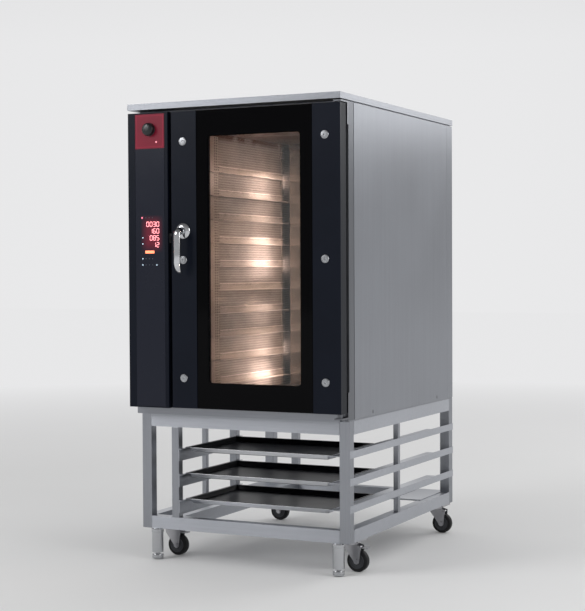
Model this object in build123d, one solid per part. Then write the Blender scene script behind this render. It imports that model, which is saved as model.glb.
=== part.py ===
from build123d import *
import math
import os

# Convection oven with one glazed door, on a wheeled stand that stores trays.
# Millimetres, +Z up. The pieces are laid out with x to the right from the middle
# of the top cover, y back from the front of the door and z up from the floor.
# At the end all of them move together, so that the origin is the middle of the
# footprint on the floor.

# Overall sizes
cover_width = 860.0
cover_depth = 1118.0
oven_height = 1141.5
stand_height = 430.5
castor_height = 118.0

# Fits between pieces
touch_clearance = 0.3
running_clearance = 0.05
loose_clearance = 0.5
cut_margin = 1.0

# Sheet casing
cover_thickness = 22.5
cover_sheet = 2.0
cover_lip = 12.0
cover_ring_inset = 8.0
cover_ring_width = 10.0
casing_sheet = 1.5
casing_flange = 12.0
casing_lift = 5.0
shadow_gap = 4.5
rear_overhang = 7.0
base_rim = 25.0
base_sheet = 2.0
column_depth = 43.0
column_seam = 4.0
column_wall = 2.0
rear_post_depth = 62.0
rear_post_width = 42.0
rear_panel_recess = 33.0
plinth_depth = 12.0
plinth_gap = 4.5
slot_width = 5.0
slot_height = 12.0
slot_rise = 14.0

# Door
door_thickness = 52.0
door_to_casing = 18.0
door_top_gap = 13.5
door_floor_gap = 32.0
front_layer = 11.0
glass_thickness = 8.0
glass_seat = 2.0
plate_sheet = 2.0
plate_seam = 1.0
left_plate_width = 103.0
right_plate_width = 106.5
window_side_border = 47.0
window_end_border = 94.0
sight_margin = 15.0
pocket_wall = 5.0
pocket_rear_wall = 8.0
pocket_end_wall = 60.0
inner_glass_thickness = 6.0
inner_glass_side_inset = 44.0
inner_glass_end_inset = 48.0
hinge_inset = 16.0
hinge_pin_radius = 5.0
hinge_pin_grip = 30.0
hinge_arm_thickness = 6.0
hinge_arm_gap = 14.5
hinge_top_gap = 3.5
hinge_arm_front = 8.0
hinge_arm_width = 30.0
hinge_leaf_width = 12.0
hinge_leaf_depth = 10.0
hinge_leaf_height = 72.0
cap_radius = 15.0
cap_height = 3.0
cap_end_inset = 109.0
cap_left_inset = 47.8
cap_right_inset = 58.7

# Handle and latch
handle_inset = 48.5
handle_rise = 641.5
handle_reach = 52.0
lever_length = 146.0
lever_width = 27.0
lever_depth = 14.0
lever_bend = 16.0
lever_toe = 28.0
lever_tip_gap = 29.0
boss_radius = 29.5
boss_height = 12.0
hub_radius = 14.0
spindle_radius = 8.0
tongue_length = 58.0
tongue_height = 12.0
tongue_thickness = 6.0
tongue_front = 30.0
keeper_clearance = 1.0
keeper_roller_radius = 5.0
keeper_plate = 3.0

# Control column on the left of the door
control_width = 169.0
control_side_gap = 3.0
control_to_door = 15.5
control_rise = 29.5
control_top_gap = 11.5
control_wall = 3.0
fascia_thickness = 4.0
fascia_left_strip = 31.0
fascia_right_strip = 14.0
fascia_end_strip = 5.0
fascia_ledge = 4.0
fascia_ledge_sheet = 2.0
knob_panel_height = 126.0
knob_radius = 24.0
knob_height = 22.0
knob_drop = 57.0
knob_shaft_radius = 3.0
lamp_offset = 28.5
lamp_drop = 103.0
lamp_radius = 2.4
display_drop = 371.0
display_height = 210.0

# Baking chamber
mouth_border = 29.5
chamber_floor_rise = 26.5
chamber_ceiling_drop = 56.0
liner_sheet = 1.5
baffle_to_rear = 254.0
liner_to_rear = 150.0
baffle_side_gap = 25.0
baffle_return = 20.0
gasket_offset = 3.0
gasket_width = 13.0
gasket_radius = 20.0
compartment_gap = 30.5
blanket_thickness = 23.5
rack_gap = 1.5
rack_sheet = 2.0
rack_front_inset = 140.0
rack_rear_inset = 7.0
rack_upright_width = 80.0
rack_rear_width = 30.0
rack_end_gap = 13.0
rail_ledge = 20.0
rail_height = 26.0
level_pitch = 89.0
lowest_level_rise = 42.0
top_level_clear = 100.0

# Fans, heaters and lamps
fan_radius = 140.0
fan_depth = 54.0
fan_rear_gap = 23.0
fan_disc = 2.0
fan_hub_radius = 22.0
fan_blades = 12
fan_shaft_radius = 7.0
motor_radius = 58.0
motor_neck_radius = 25.0
motor_neck = 27.5
motor_length = 76.0
motor_grip = 48.0
heater_radius = 165.0
heater_tube_radius = 4.25
heater_turns = 3
heater_pitch = 18.0
grille_radius = 120.0
grille_pitch = 20.0
grille_slot = 8.0
chamber_lamp_radius = 32.0
chamber_lamp_depth = 14.0

# Stand
stand_width = 850.0
stand_front = 82.0
stand_rear_overhang = 5.0
tube_width = 40.0
tube_depth = 36.0
tube_wall = 2.0
top_rail_height = 48.5
bottom_rail_height = 46.0
mid_post_width = 20.0
inner_post_width = 30.0
tray_bay_width = 693.0
runner_sheet = 2.0
runner_flange = 26.0
right_ledge = 98.0
left_ledge = 12.5
left_flange = 46.0
runner_pitch = 96.0
runner_top_drop = 80.0
shelf_length = 250.0
shelf_width = 110.0
shelf_sheet = 2.0

# Trays
tray_count = 3
tray_width = 600.0
tray_depth = 400.0
tray_height = 19.0
tray_sheet = 1.5
tray_rim = 12.0
tray_slope = 9.0
tray_radius = 5.0
tray_side_gap = 3.0
tray_front_gap = 2.0

# Legs and castors
leg_radius = 21.0
leg_wall = 3.0
leg_inset = 53.0
foot_height = 17.0
foot_lift = 3.0
foot_travel = 6.0
foot_stem_radius = 8.0
foot_plug = 20.0
castor_inset = 53.0
front_castor = 200.0
rear_castor_gap = 64.0
castor_plate_thickness = 8.0
castor_plate_length = 100.0
castor_plate_width = 85.0
swivel_radius = 30.0
swivel_height = 11.7
swivel_pin_radius = 6.0
swivel_pin_length = 22.0
castor_trail = 32.0
wheel_radius = 40.0
wheel_width = 30.0
axle_radius = 5.0
fork_sheet = 3.0
fork_gap = 1.0
brake_pivot = 40.0
brake_rise = 8.0
brake_length = 34.0
brake_width = 26.0
brake_sheet = 3.5
brake_pin_radius = 3.0

# Levels that several pieces share
stand_bottom = castor_height
oven_bottom = stand_bottom + stand_height
oven_top = oven_bottom + oven_height
cover_bottom = oven_top - cover_thickness
casing_bottom = oven_bottom + casing_lift
casing_top = cover_bottom - shadow_gap
door_bottom = oven_bottom + door_floor_gap
door_top = cover_bottom - door_top_gap
chamber_floor = door_bottom + chamber_floor_rise
chamber_ceiling = door_top - chamber_ceiling_drop
rail_bottom = stand_bottom + bottom_rail_height
rail_top = oven_bottom - top_rail_height

# Planes from front to back
casing_front = door_thickness + door_to_casing
column_rear = casing_front + column_depth
panel_front = column_rear + column_seam
casing_rear = cover_depth - rear_overhang
post_front = casing_rear - rear_post_depth
baffle_front = casing_rear - baffle_to_rear
liner_rear = casing_rear - liner_to_rear
rear_plane = casing_rear - rear_panel_recess
stand_rear = cover_depth + stand_rear_overhang
fan_rear = liner_rear - fan_rear_gap

# Planes from left to right
cover_half = cover_width / 2
control_left = -cover_half + control_side_gap
control_right = control_left + control_width
door_left = control_right + control_to_door
door_right = cover_half
glass_left = door_left + left_plate_width + plate_seam
glass_right = door_right - right_plate_width - plate_seam
chamber_left = door_left + mouth_border
chamber_right = door_right - mouth_border
chamber_middle = (chamber_left + chamber_right) / 2
wall_left = chamber_left - liner_sheet - compartment_gap
stand_half = stand_width / 2
inner_post_right = stand_half - tray_bay_width

# Places that several pieces share
hinge_x = door_right - hinge_inset
hinge_y = door_thickness / 2
handle_x = door_left + handle_inset
handle_z = door_bottom + handle_rise
control_bottom = oven_bottom + control_rise
control_top = cover_bottom - control_top_gap
fascia_left = control_left + fascia_left_strip
fascia_right = control_right - fascia_right_strip
fascia_bottom = control_bottom + fascia_end_strip
fascia_top = control_top - fascia_end_strip
knob_panel_bottom = fascia_top - knob_panel_height
knob_x = (fascia_left + fascia_right) / 2
knob_z = fascia_top - knob_drop
window_left = glass_left + window_side_border
window_right = glass_right - window_side_border
window_bottom = door_bottom + window_end_border
window_top = door_top - window_end_border
lowest_level = chamber_floor + lowest_level_rise
level_room = chamber_ceiling - top_level_clear - lowest_level
level_count = int(level_room // level_pitch) + 1
chamber_height = chamber_ceiling - chamber_floor
fan_heights = [chamber_floor + chamber_height * share for share in (0.25, 0.75)]
runner_tops = [rail_top - runner_top_drop - runner_pitch * i for i in range(tray_count)]
ledge_left_end = inner_post_right + left_ledge
ledge_right_end = stand_half - right_ledge
tray_left = inner_post_right + tray_side_gap
tray_front = stand_front + tube_depth + tray_front_gap
leg_places = [(side * (stand_half - leg_inset), stand_front + tube_depth / 2) for side in (-1, 1)]
castor_x = stand_half - castor_inset
rear_castor = stand_rear - rear_castor_gap
castor_places = {
    "front_left": (-castor_x, front_castor),
    "front_right": (castor_x, front_castor),
    "rear_left": (-castor_x, rear_castor),
    "rear_right": (castor_x, rear_castor),
}
swivel_top = castor_height - castor_plate_thickness - touch_clearance
swivel_bottom = swivel_top - swivel_height
brake_z = 2 * wheel_radius + brake_rise


def block(x0, x1, y0, y1, z0, z1):
    """A box between two opposite corners, given in either order."""
    size = Box(abs(x1 - x0), abs(y1 - y0), abs(z1 - z0))
    return Pos((x0 + x1) / 2, (y0 + y1) / 2, (z0 + z1) / 2) * size


def rod_x(x0, x1, y, z, radius):
    """A round bar along x."""
    return Pos((x0 + x1) / 2, y, z) * Rot(0, 90, 0) * Cylinder(radius, x1 - x0)


def rod_y(x, y0, y1, z, radius):
    """A round bar along y."""
    return Pos(x, (y0 + y1) / 2, z) * Rot(90, 0, 0) * Cylinder(radius, y1 - y0)


def rod_z(x, y, z0, z1, radius):
    """A round bar along z."""
    return Pos(x, y, (z0 + z1) / 2) * Cylinder(radius, z1 - z0)


def channel(x0, x1, y0, y1, z0, z1, wall):
    """A folded channel whose open side is its rear."""
    inside = block(x0 + wall, x1 - wall, y0 + wall, y1 + cut_margin, z0 + wall, z1 - wall)
    return block(x0, x1, y0, y1, z0, z1) - inside


def square_tube(x0, x1, y0, y1, z0, z1, along):
    """A square tube, open at both ends of the axis it runs along."""
    inner = [[x0, x1], [y0, y1], [z0, z1]]
    for axis, pair in enumerate(inner):
        grow = cut_margin if "xyz"[axis] == along else -tube_wall
        pair[0] -= grow
        pair[1] += grow
    return block(x0, x1, y0, y1, z0, z1) - block(*inner[0], *inner[1], *inner[2])


def group(solids):
    """Separate solids that share one node."""
    return Compound(children=list(solids))


def top_cover():
    """Folded cover with a ring inside that stands on the casing."""
    shell = block(-cover_half, cover_half, 0, cover_depth, cover_bottom, oven_top)
    inside = block(
        cover_sheet - cover_half, cover_half - cover_sheet,
        cover_sheet, cover_depth - cover_sheet,
        cover_bottom + casing_sheet, oven_top - cover_sheet,
    )
    ring_front = casing_front + cover_ring_inset
    ring_rear = casing_rear - cover_ring_inset
    ring_half = cover_half - cover_ring_inset
    opening = block(
        cover_lip - cover_half, cover_half - cover_lip,
        ring_front, cover_depth - cover_lip,
        cover_bottom - cut_margin, cover_bottom + cover_sheet,
    )
    ring = block(-ring_half, ring_half, ring_front, ring_rear, casing_top, oven_top - casing_sheet)
    bore = block(
        cover_ring_width - ring_half, ring_half - cover_ring_width,
        ring_front + cover_ring_width, ring_rear - cover_ring_width,
        casing_top - cut_margin, oven_top,
    )
    shell = shell - inside - opening + (ring - bore)
    edges = [e for e in shell.edges().filter_by(Axis.Z) if e.length > cover_thickness - 1]
    return fillet(edges, cover_sheet)


def side_panel(side, front):
    """Side wall with all four edges folded inwards."""
    outer = side * cover_half
    inner = side * (cover_half - casing_flange)
    shell = block(outer, inner, front, post_front, casing_bottom, casing_top)
    shell -= block(
        outer - side * casing_sheet, inner - side * cut_margin,
        front + casing_sheet, post_front - casing_sheet,
        casing_bottom + casing_sheet, casing_top - casing_sheet,
    )
    for y in (front + 158, post_front - 122):
        z = casing_bottom + slot_rise
        shell -= block(outer + side, inner, y, y + slot_width, z - slot_height / 2, z + slot_height / 2)
    return shell


def rear_corner_posts():
    """Two folded corner posts behind the side walls."""
    posts = []
    for side in (-1, 1):
        outer = side * cover_half
        inner = side * (cover_half - rear_post_width)
        post = block(outer, inner, post_front, casing_rear, casing_bottom, casing_top)
        posts.append(post - block(
            outer - side * column_wall, inner - side * cut_margin,
            post_front - cut_margin, casing_rear - column_wall,
            casing_bottom - cut_margin, casing_top + cut_margin,
        ))
    return group(posts)


def gland_place():
    """Where the supply cable enters, on the rear panel."""
    return -cover_half + 100, casing_bottom + 90


def outlet_place():
    """Where steam leaves, on the rear panel."""
    return chamber_middle, chamber_ceiling - 20


def rear_panel():
    """Recessed rear panel with flanges screwed inside the corner posts."""
    half = cover_half - rear_post_width
    rear = casing_rear - column_wall
    panel = block(-half, half, rear_plane - casing_sheet, rear, casing_bottom, casing_top)
    panel -= block(
        casing_sheet - half, half - casing_sheet, rear_plane, rear + cut_margin,
        casing_bottom + casing_sheet, casing_top - casing_sheet,
    )
    for side in (-1, 1):
        flange_end = side * (half + rear_post_width - 2 * column_wall)
        panel += block(side * half, flange_end, rear - casing_sheet, rear, casing_bottom, casing_top)
    for column in (-1, 1):
        for row in range(12):
            x = column * half / 2
            z = casing_bottom + 200 + row * 14
            panel -= block(x - 60, x + 60, rear_plane - 2, rear_plane + 1, z, z + 5)
    for (x, z), radius in ((gland_place(), 12.5), (outlet_place(), 24.5)):
        panel -= rod_y(x, rear_plane - 2, rear_plane + 1, z, radius)
    return panel


def cable_gland():
    """Gland for the supply cable: flange, dome nut and inner thread."""
    x, z = gland_place()
    body = rod_y(x, rear_plane - 18, rear_plane, z, 12)
    body += rod_y(x, rear_plane, rear_plane + 5, z, 18)
    body += rod_y(x, rear_plane + 5, rear_plane + 26, z, 14)
    return body - rod_y(x, rear_plane - 20, rear_plane + 30, z, 7)


def steam_outlet():
    """Short pipe that lets the steam out at the rear."""
    x, z = outlet_place()
    pipe = rod_y(x, rear_plane - 20, casing_rear, z, 24)
    pipe += rod_y(x, rear_plane, rear_plane + 4, z, 36)
    return pipe - rod_y(x, rear_plane - 25, casing_rear + 5, z, 21)


def base_pan():
    """Base plate with a raised rim that carries the casing."""
    half = cover_half - base_sheet
    pan = block(-half, half, casing_front, casing_rear, oven_bottom, casing_bottom)
    return pan - block(
        base_rim - half, half - base_rim, casing_front + base_rim, casing_rear - base_rim,
        oven_bottom + base_sheet, casing_bottom + cut_margin,
    )


def plinth_strip():
    """Bright folded strip under the door."""
    right = cover_half - hinge_arm_width - 2 * plate_seam
    return channel(
        -cover_half, right, casing_front - plinth_depth, casing_front,
        oven_bottom, door_bottom - plinth_gap, casing_sheet,
    )


def hinge_column():
    """Front right column that carries the door hinges."""
    left = chamber_right + liner_sheet
    return channel(
        left, cover_half, casing_front, column_rear, casing_bottom, casing_top, column_wall
    )


def face_frame():
    """Three channels round the mouth of the chamber; the hinge column is the fourth."""
    left = control_right - 4 * control_wall
    right = chamber_right + liner_sheet
    low = chamber_floor - liner_sheet
    high = chamber_ceiling + liner_sheet
    front_rear = (casing_front, column_rear)
    return group([
        channel(left, right, *front_rear, high, casing_top, column_wall),
        channel(left, right, *front_rear, casing_bottom, low, column_wall),
        channel(left, chamber_left - liner_sheet, *front_rear, low, high, column_wall),
    ])


def chamber_liner():
    """Five sheets that line the chamber: sides, floor, ceiling and rear."""
    low = chamber_floor - liner_sheet
    high = chamber_ceiling + liner_sheet
    outer_left = chamber_left - liner_sheet
    outer_right = chamber_right + liner_sheet
    rear = block(outer_left, outer_right, liner_rear, liner_rear + liner_sheet, low, high)
    for z in fan_heights:
        hole = fan_shaft_radius + 3
        rear -= rod_y(chamber_middle, liner_rear - 1, liner_rear + 3, z, hole)
    return group([
        block(outer_left, chamber_left, casing_front, liner_rear, low, high),
        block(chamber_right, outer_right, casing_front, liner_rear, low, high),
        block(chamber_left, chamber_right, casing_front, liner_rear, low, chamber_floor),
        block(chamber_left, chamber_right, casing_front, liner_rear, chamber_ceiling, high),
        rear,
    ])


def insulation():
    """Mineral wool blankets round the chamber."""
    low = chamber_floor - liner_sheet
    high = chamber_ceiling + liner_sheet
    outer_left = chamber_left - liner_sheet
    outer_right = chamber_right + liner_sheet
    skin = cover_half - casing_sheet - loose_clearance
    front = panel_front + 2 * casing_sheet
    back = post_front - 2 * casing_sheet
    behind = liner_rear + liner_sheet
    rear = block(outer_left, outer_right, behind, behind + blanket_thickness, low, high)
    for z in fan_heights:
        hole = motor_neck_radius + loose_clearance
        rear -= rod_y(chamber_middle, behind - 1, behind + blanket_thickness + 1, z, hole)
    base_top = oven_bottom + base_sheet + loose_clearance
    return group([
        block(wall_left, outer_left, front, liner_rear, low, high),
        block(outer_right, skin, front, liner_rear, low, high),
        block(wall_left, outer_right, front, back, base_top, low),
        block(wall_left, outer_right, front, back, high, casing_top - 2 * casing_sheet),
        rear,
    ])


def compartment_wall():
    """Wall between the hot side and the electrical compartment."""
    return block(
        wall_left - casing_sheet, wall_left, column_rear, rear_plane - casing_sheet,
        oven_bottom + base_sheet, casing_top - casing_sheet,
    )


def mouth_gasket():
    """Door seal that lies on the frame round the mouth."""
    width = chamber_right - chamber_left + 2 * gasket_offset
    height = chamber_height + 2 * gasket_offset
    depth = casing_front - door_thickness - touch_clearance
    outline = RectangleRounded(
        width + 2 * gasket_width, height + 2 * gasket_width, gasket_radius + gasket_width
    )
    outline -= RectangleRounded(width, height, gasket_radius)
    ring = extrude(outline, depth)
    return Pos(chamber_middle, casing_front, chamber_floor + chamber_height / 2) * Rot(90, 0, 0) * ring


def fan_baffle():
    """Sheet in front of the fans, with a slotted intake for each."""
    left = chamber_left + baffle_side_gap
    right = chamber_right - baffle_side_gap
    rear = baffle_front + casing_sheet
    sheet = block(left, right, baffle_front, rear, chamber_floor, chamber_ceiling)
    for x0, x1 in ((left, left + casing_sheet), (right - casing_sheet, right)):
        sheet += block(x0, x1, rear, rear + baffle_return, chamber_floor, chamber_ceiling)
    rows = int(grille_radius / grille_pitch)
    slots = []
    for z in fan_heights:
        for row in range(1 - rows, rows):
            rise = row * grille_pitch
            half = math.sqrt(grille_radius**2 - rise**2)
            slots.append(block(
                chamber_middle - half, chamber_middle + half,
                baffle_front - cut_margin, rear + cut_margin,
                z + rise - grille_slot / 2, z + rise + grille_slot / 2,
            ))
    return sheet - slots


def tray_rack(side):
    """One side of the tray rack: two uprights and a ledge for each level."""
    wall = chamber_left if side < 0 else chamber_right
    plane = wall - side * rack_gap
    face = plane - side * rack_sheet
    front = casing_front + rack_front_inset
    rear = baffle_front - rack_rear_inset
    low = chamber_floor + rack_end_gap
    high = chamber_ceiling - rack_end_gap
    rack = block(plane, face, front, front + rack_upright_width, low, high)
    rack += block(plane, face, rear - rack_rear_width, rear, low, high)
    rails = []
    for level in range(level_count):
        z = lowest_level + level * level_pitch
        rails.append(block(plane, face, front, rear, z - rack_sheet, z + rail_height))
        rails.append(block(plane, face - side * rail_ledge, front, rear, z - rack_sheet, z))
    for y in (front + rack_upright_width / 2, rear - rack_rear_width / 2):
        for z in (low + 30, high - 30):
            rails.append(rod_x(min(wall, plane), max(wall, plane), y, z, 6))
    return rack + rails


def fan_wheel(z):
    """Radial fan wheel with its shaft."""
    front = fan_rear - fan_depth
    wheel = rod_y(chamber_middle, fan_rear - fan_disc, fan_rear, z, fan_radius)
    ring = rod_y(chamber_middle, front, front + fan_disc, z, fan_radius)
    ring -= rod_y(chamber_middle, front - 1, front + 2 * fan_disc, z, fan_radius * 0.75)
    blade = block(fan_radius * 0.45, fan_radius - 2, front, fan_rear - fan_disc, -1, 1)
    blades = [
        Pos(chamber_middle, 0, z) * Rot(0, 360 / fan_blades * i, 0) * blade for i in range(fan_blades)
    ]
    shaft_end = liner_rear + liner_sheet + motor_grip
    hub = rod_y(chamber_middle, front + 10, fan_rear, z, fan_hub_radius)
    shaft = rod_y(chamber_middle, front + 5, shaft_end - 1, z, fan_shaft_radius)
    return wheel + [ring, hub, shaft] + blades


def fan_motors():
    """Two motors behind the chamber, each on a neck through the blanket."""
    motors = []
    for z in fan_heights:
        start = liner_rear + liner_sheet
        neck_end = start + motor_neck
        motor = rod_y(chamber_middle, start, neck_end, z, motor_neck_radius)
        motor += rod_y(chamber_middle, neck_end, neck_end + motor_length, z, motor_radius)
        bore = fan_shaft_radius + running_clearance
        motors.append(motor - rod_y(chamber_middle, start - 1, start + motor_grip, z, bore))
    return group(motors)


def heating_coils():
    """Round tubular heaters about the fan wheels, held by two bars each."""
    coils = []
    for z in fan_heights:
        first = liner_rear - 30
        parts = [
            Pos(chamber_middle, first - heater_pitch * i, z) * Rot(90, 0, 0)
            * Torus(heater_radius, heater_tube_radius)
            for i in range(heater_turns)
        ]
        bars = []
        for side in (-1, 1):
            inner = chamber_middle + side * (heater_radius - 2 * heater_tube_radius)
            outer = chamber_middle + side * (heater_radius + 2 * heater_tube_radius)
            bars.append(block(inner, outer, first - heater_pitch * 2 - 6, liner_rear, z - 5, z + 5))
        coils.append(bars[0] + bars[1:] + parts)
    return group(coils)


def chamber_lamps():
    """Two round lamps low and high on the right wall."""
    y = casing_front + rack_front_inset / 2
    wall = chamber_right
    return group([
        rod_x(wall - chamber_lamp_depth / 2, wall, y, z, chamber_lamp_radius)
        + rod_x(wall - chamber_lamp_depth, wall, y, z, chamber_lamp_radius * 0.75)
        for z in fan_heights
    ])


def power_unit():
    """Contactors and power board in a finned box, on the compartment wall."""
    right = wall_left - casing_sheet
    left = right - 120
    box = block(left, right, 380, 760, 760, 1240)
    fins = [block(left - 20, left, 400 + 30 * i, 404 + 30 * i, 780, 1220) for i in range(12)]
    return box + fins


def control_frame():
    """Deep frame on the left that holds the controls."""
    frame = block(control_left, control_right, 0, casing_front, control_bottom, control_top)
    back = fascia_thickness + fascia_ledge_sheet
    frame -= block(
        control_left + control_wall, control_right - control_wall, back, casing_front + 1,
        control_bottom + control_wall, control_top - control_wall,
    )
    frame -= block(fascia_left, fascia_right, -1, fascia_thickness, fascia_bottom, fascia_top)
    edge = fascia_ledge
    return frame - block(
        fascia_left + edge, fascia_right - edge, 0, back + 1, fascia_bottom + edge, fascia_top - edge
    )


def control_fascia():
    """Dark touch panel below the red block."""
    gap = touch_clearance
    return block(
        fascia_left + gap, fascia_right - gap, 0, fascia_thickness,
        fascia_bottom + gap, knob_panel_bottom - gap,
    )


def knob_panel():
    """Red block at the top of the controls."""
    gap = touch_clearance
    panel = block(
        fascia_left + gap, fascia_right - gap, 0, fascia_thickness, knob_panel_bottom, fascia_top - gap
    )
    panel -= rod_y(knob_x, -1, fascia_thickness + 1, knob_z, knob_shaft_radius + loose_clearance)
    lamp_z = fascia_top - lamp_drop
    return panel - rod_y(knob_x + lamp_offset, -1, fascia_thickness + 1, lamp_z, lamp_radius + 0.1)


def control_knob():
    """Domed round knob with its shaft."""
    front = -loose_clearance - knob_height
    knob = rod_y(knob_x, front, -loose_clearance, knob_z, knob_radius)
    rim = knob.edges().filter_by(GeomType.CIRCLE).sort_by(Axis.Y)[0]
    knob = fillet(rim, knob_height / 3)
    shaft_end = fascia_thickness + 3 * fascia_ledge_sheet
    return knob + rod_y(knob_x, front / 2, shaft_end, knob_z, knob_shaft_radius)


def control_electronics():
    """Display board behind the fascia, and the turning sensor behind the knob."""
    plate = fascia_thickness + 8
    display_top = fascia_top - display_drop
    low = display_top - display_height
    board = block(fascia_left + 8, fascia_right - 8, plate, plate + 2, low, display_top)
    for x in (fascia_left + 14, fascia_right - 14):
        for z in (low + 10, display_top - 10):
            board += rod_y(x, fascia_thickness, plate, z, 3)
    for row in range(4):
        top = display_top - 20 - row * 25
        board += block(knob_x - 25, knob_x + 35, plate - 7, plate, top - 20, top)
    sensor = block(knob_x - 18, knob_x + 40, plate, plate + 2, knob_z - 56, knob_z + 18)
    sensor += rod_y(knob_x, fascia_thickness, plate, knob_z, 12)
    lamp_z = fascia_top - lamp_drop
    sensor += rod_y(knob_x + lamp_offset, -0.8, plate, lamp_z, lamp_radius)
    bore = knob_shaft_radius + running_clearance
    sensor -= rod_y(knob_x, fascia_thickness - 1, plate + 3, knob_z, bore)
    return group([board, sensor])


def door_frame():
    """Hollow door frame, rounded behind its hinge so that it swings clear of the seal."""
    rear = door_thickness
    frame = block(door_left, door_right, front_layer, rear, door_bottom, door_top)
    frame += block(glass_left, glass_right, front_layer - glass_seat, front_layer, door_bottom, door_top)
    frame -= block(
        window_left - sight_margin, window_right + sight_margin, 0, rear + 1,
        window_bottom - sight_margin, window_top + sight_margin,
    )
    pane_left = door_left + inner_glass_side_inset
    pane_right = door_right - inner_glass_side_inset
    frame -= block(
        pane_left - loose_clearance, pane_right + loose_clearance,
        rear - inner_glass_thickness, rear + 1,
        door_bottom + inner_glass_end_inset - loose_clearance,
        door_top - inner_glass_end_inset + loose_clearance,
    )
    pocket_rear = rear - pocket_rear_wall
    frame -= block(
        door_left + pocket_wall, glass_left - 2 * pocket_wall, 0, pocket_rear,
        door_bottom + 2 * pocket_wall, door_top - 2 * pocket_wall,
    )
    frame -= block(
        glass_right + 2 * pocket_wall, door_right - pocket_wall, 0, pocket_rear,
        door_bottom + pocket_end_wall, door_top - pocket_end_wall,
    )
    slot_low = handle_z - tongue_length * 0.8
    frame -= block(
        door_left - 1, door_left + pocket_wall + 1,
        tongue_front - 3, tongue_front + tongue_thickness + 3,
        slot_low, handle_z + tongue_height,
    )
    swing = rear - hinge_y
    corner = block(hinge_x, door_right + 1, hinge_y, rear + 1, door_bottom - 1, door_top + 1)
    frame -= corner - rod_z(hinge_x, hinge_y, door_bottom - 2, door_top + 2, swing)
    bore = hinge_pin_radius + running_clearance
    grip = hinge_pin_grip + 1
    frame -= rod_z(hinge_x, hinge_y, door_bottom - 1, door_bottom + grip, bore)
    return frame - rod_z(hinge_x, hinge_y, door_top - grip, door_top + 1, bore)


def door_front_glass():
    """Outer pane between the two side plates."""
    rear = front_layer - glass_seat
    pane = block(glass_left, glass_right, rear - glass_thickness, rear, door_bottom, door_top)
    front_edges = pane.faces().sort_by(Axis.Y)[0].edges()
    return chamfer(front_edges, plate_seam)


def cap_places():
    """Centres of the six round screw caps."""
    low = door_bottom + cap_end_inset
    high = door_top - cap_end_inset
    return [
        (x, z)
        for x in (door_left + cap_left_inset, door_right - cap_right_inset)
        for z in (low, (low + high) / 2, high)
    ]


def door_side_plates():
    """Folded plates either side of the glass."""
    plates = []
    for left, right in ((door_left, glass_left - plate_seam), (glass_right + plate_seam, door_right)):
        plate = block(left, right, 0, front_layer, door_bottom, door_top)
        plate -= block(
            left + plate_sheet, right - plate_sheet, plate_sheet, front_layer + 1,
            door_bottom + plate_sheet, door_top - plate_sheet,
        )
        for x, z in cap_places():
            if left < x < right:
                plate -= rod_y(x, -1, plate_sheet + 1, z, cap_radius / 3)
        if left < handle_x < right:
            plate -= rod_y(handle_x, -1, plate_sheet + 1, handle_z, spindle_radius + loose_clearance)
        plates.append(plate)
    return group(plates)


def door_caps():
    """Six domed caps, each with its screw shank."""
    caps = []
    for x, z in cap_places():
        cap = rod_y(x, -cap_height, 0, z, cap_radius)
        rim = cap.edges().filter_by(GeomType.CIRCLE).sort_by(Axis.Y)[0]
        cap = fillet(rim, cap_height / 2)
        caps.append(cap + rod_y(x, -cap_height / 2, front_layer / 2, z, cap_radius / 3 - 0.2))
    return group(caps)


def door_inner_glass():
    """Inner pane, let into the rear of the door."""
    return block(
        door_left + inner_glass_side_inset, door_right - inner_glass_side_inset,
        door_thickness - inner_glass_thickness, door_thickness,
        door_bottom + inner_glass_end_inset, door_top - inner_glass_end_inset,
    )


def handle_escutcheon():
    """Round boss on the door that the handle turns in."""
    boss = rod_y(handle_x, -boss_height, 0, handle_z, boss_radius)
    rim = boss.edges().filter_by(GeomType.CIRCLE).sort_by(Axis.Y)[0]
    boss = fillet(rim, boss_height / 4)
    bore = spindle_radius + running_clearance
    return boss - rod_y(handle_x, -boss_height - 1, 1, handle_z, bore)


def handle_lever():
    """Lever that hangs down in front of the door, with its spindle."""
    line_y = -handle_reach + lever_depth / 2
    bottom = handle_z - lever_length
    path = FilletPolyline(
        (handle_x, -boss_height - touch_clearance, handle_z),
        (handle_x, line_y, handle_z),
        (handle_x, line_y, bottom + lever_toe),
        (handle_x, -lever_tip_gap, bottom),
        radius=lever_bend,
    )
    section = Plane(path @ 0, x_dir=(1, 0, 0), z_dir=path % 0) * Ellipse(lever_width / 2, lever_depth / 2)
    lever = sweep(section, path)
    hub_front = line_y + lever_depth / 2
    lever += rod_y(handle_x, hub_front, -boss_height - touch_clearance, handle_z, hub_radius)
    spindle_end = tongue_front + tongue_thickness + 2
    return lever + rod_y(handle_x, line_y, spindle_end, handle_z, spindle_radius)


def latch_tongue():
    """Tongue on the spindle that reaches out of the door's left edge."""
    rear = tongue_front + tongue_thickness
    tongue = block(
        handle_x - tongue_length, handle_x, tongue_front, rear,
        handle_z - tongue_height / 2, handle_z + tongue_height / 2,
    )
    tongue += rod_y(handle_x, tongue_front, rear, handle_z, spindle_radius + 6)
    return tongue - rod_y(handle_x, tongue_front - 1, rear + 1, handle_z, spindle_radius + 0.02)


def latch_keeper():
    """Keeper roller on the side of the control frame, just below the tongue."""
    top = handle_z - tongue_height / 2 - keeper_clearance
    roller_z = top - keeper_roller_radius
    roller_y = tongue_front - keeper_clearance - keeper_roller_radius
    plate_right = control_right + keeper_plate
    keeper = block(control_right, plate_right, roller_y - 12, roller_y + 20, top - 36, top)
    roller_end = door_left - 3
    return keeper + rod_x(plate_right, roller_end, roller_y, roller_z, keeper_roller_radius)


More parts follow.
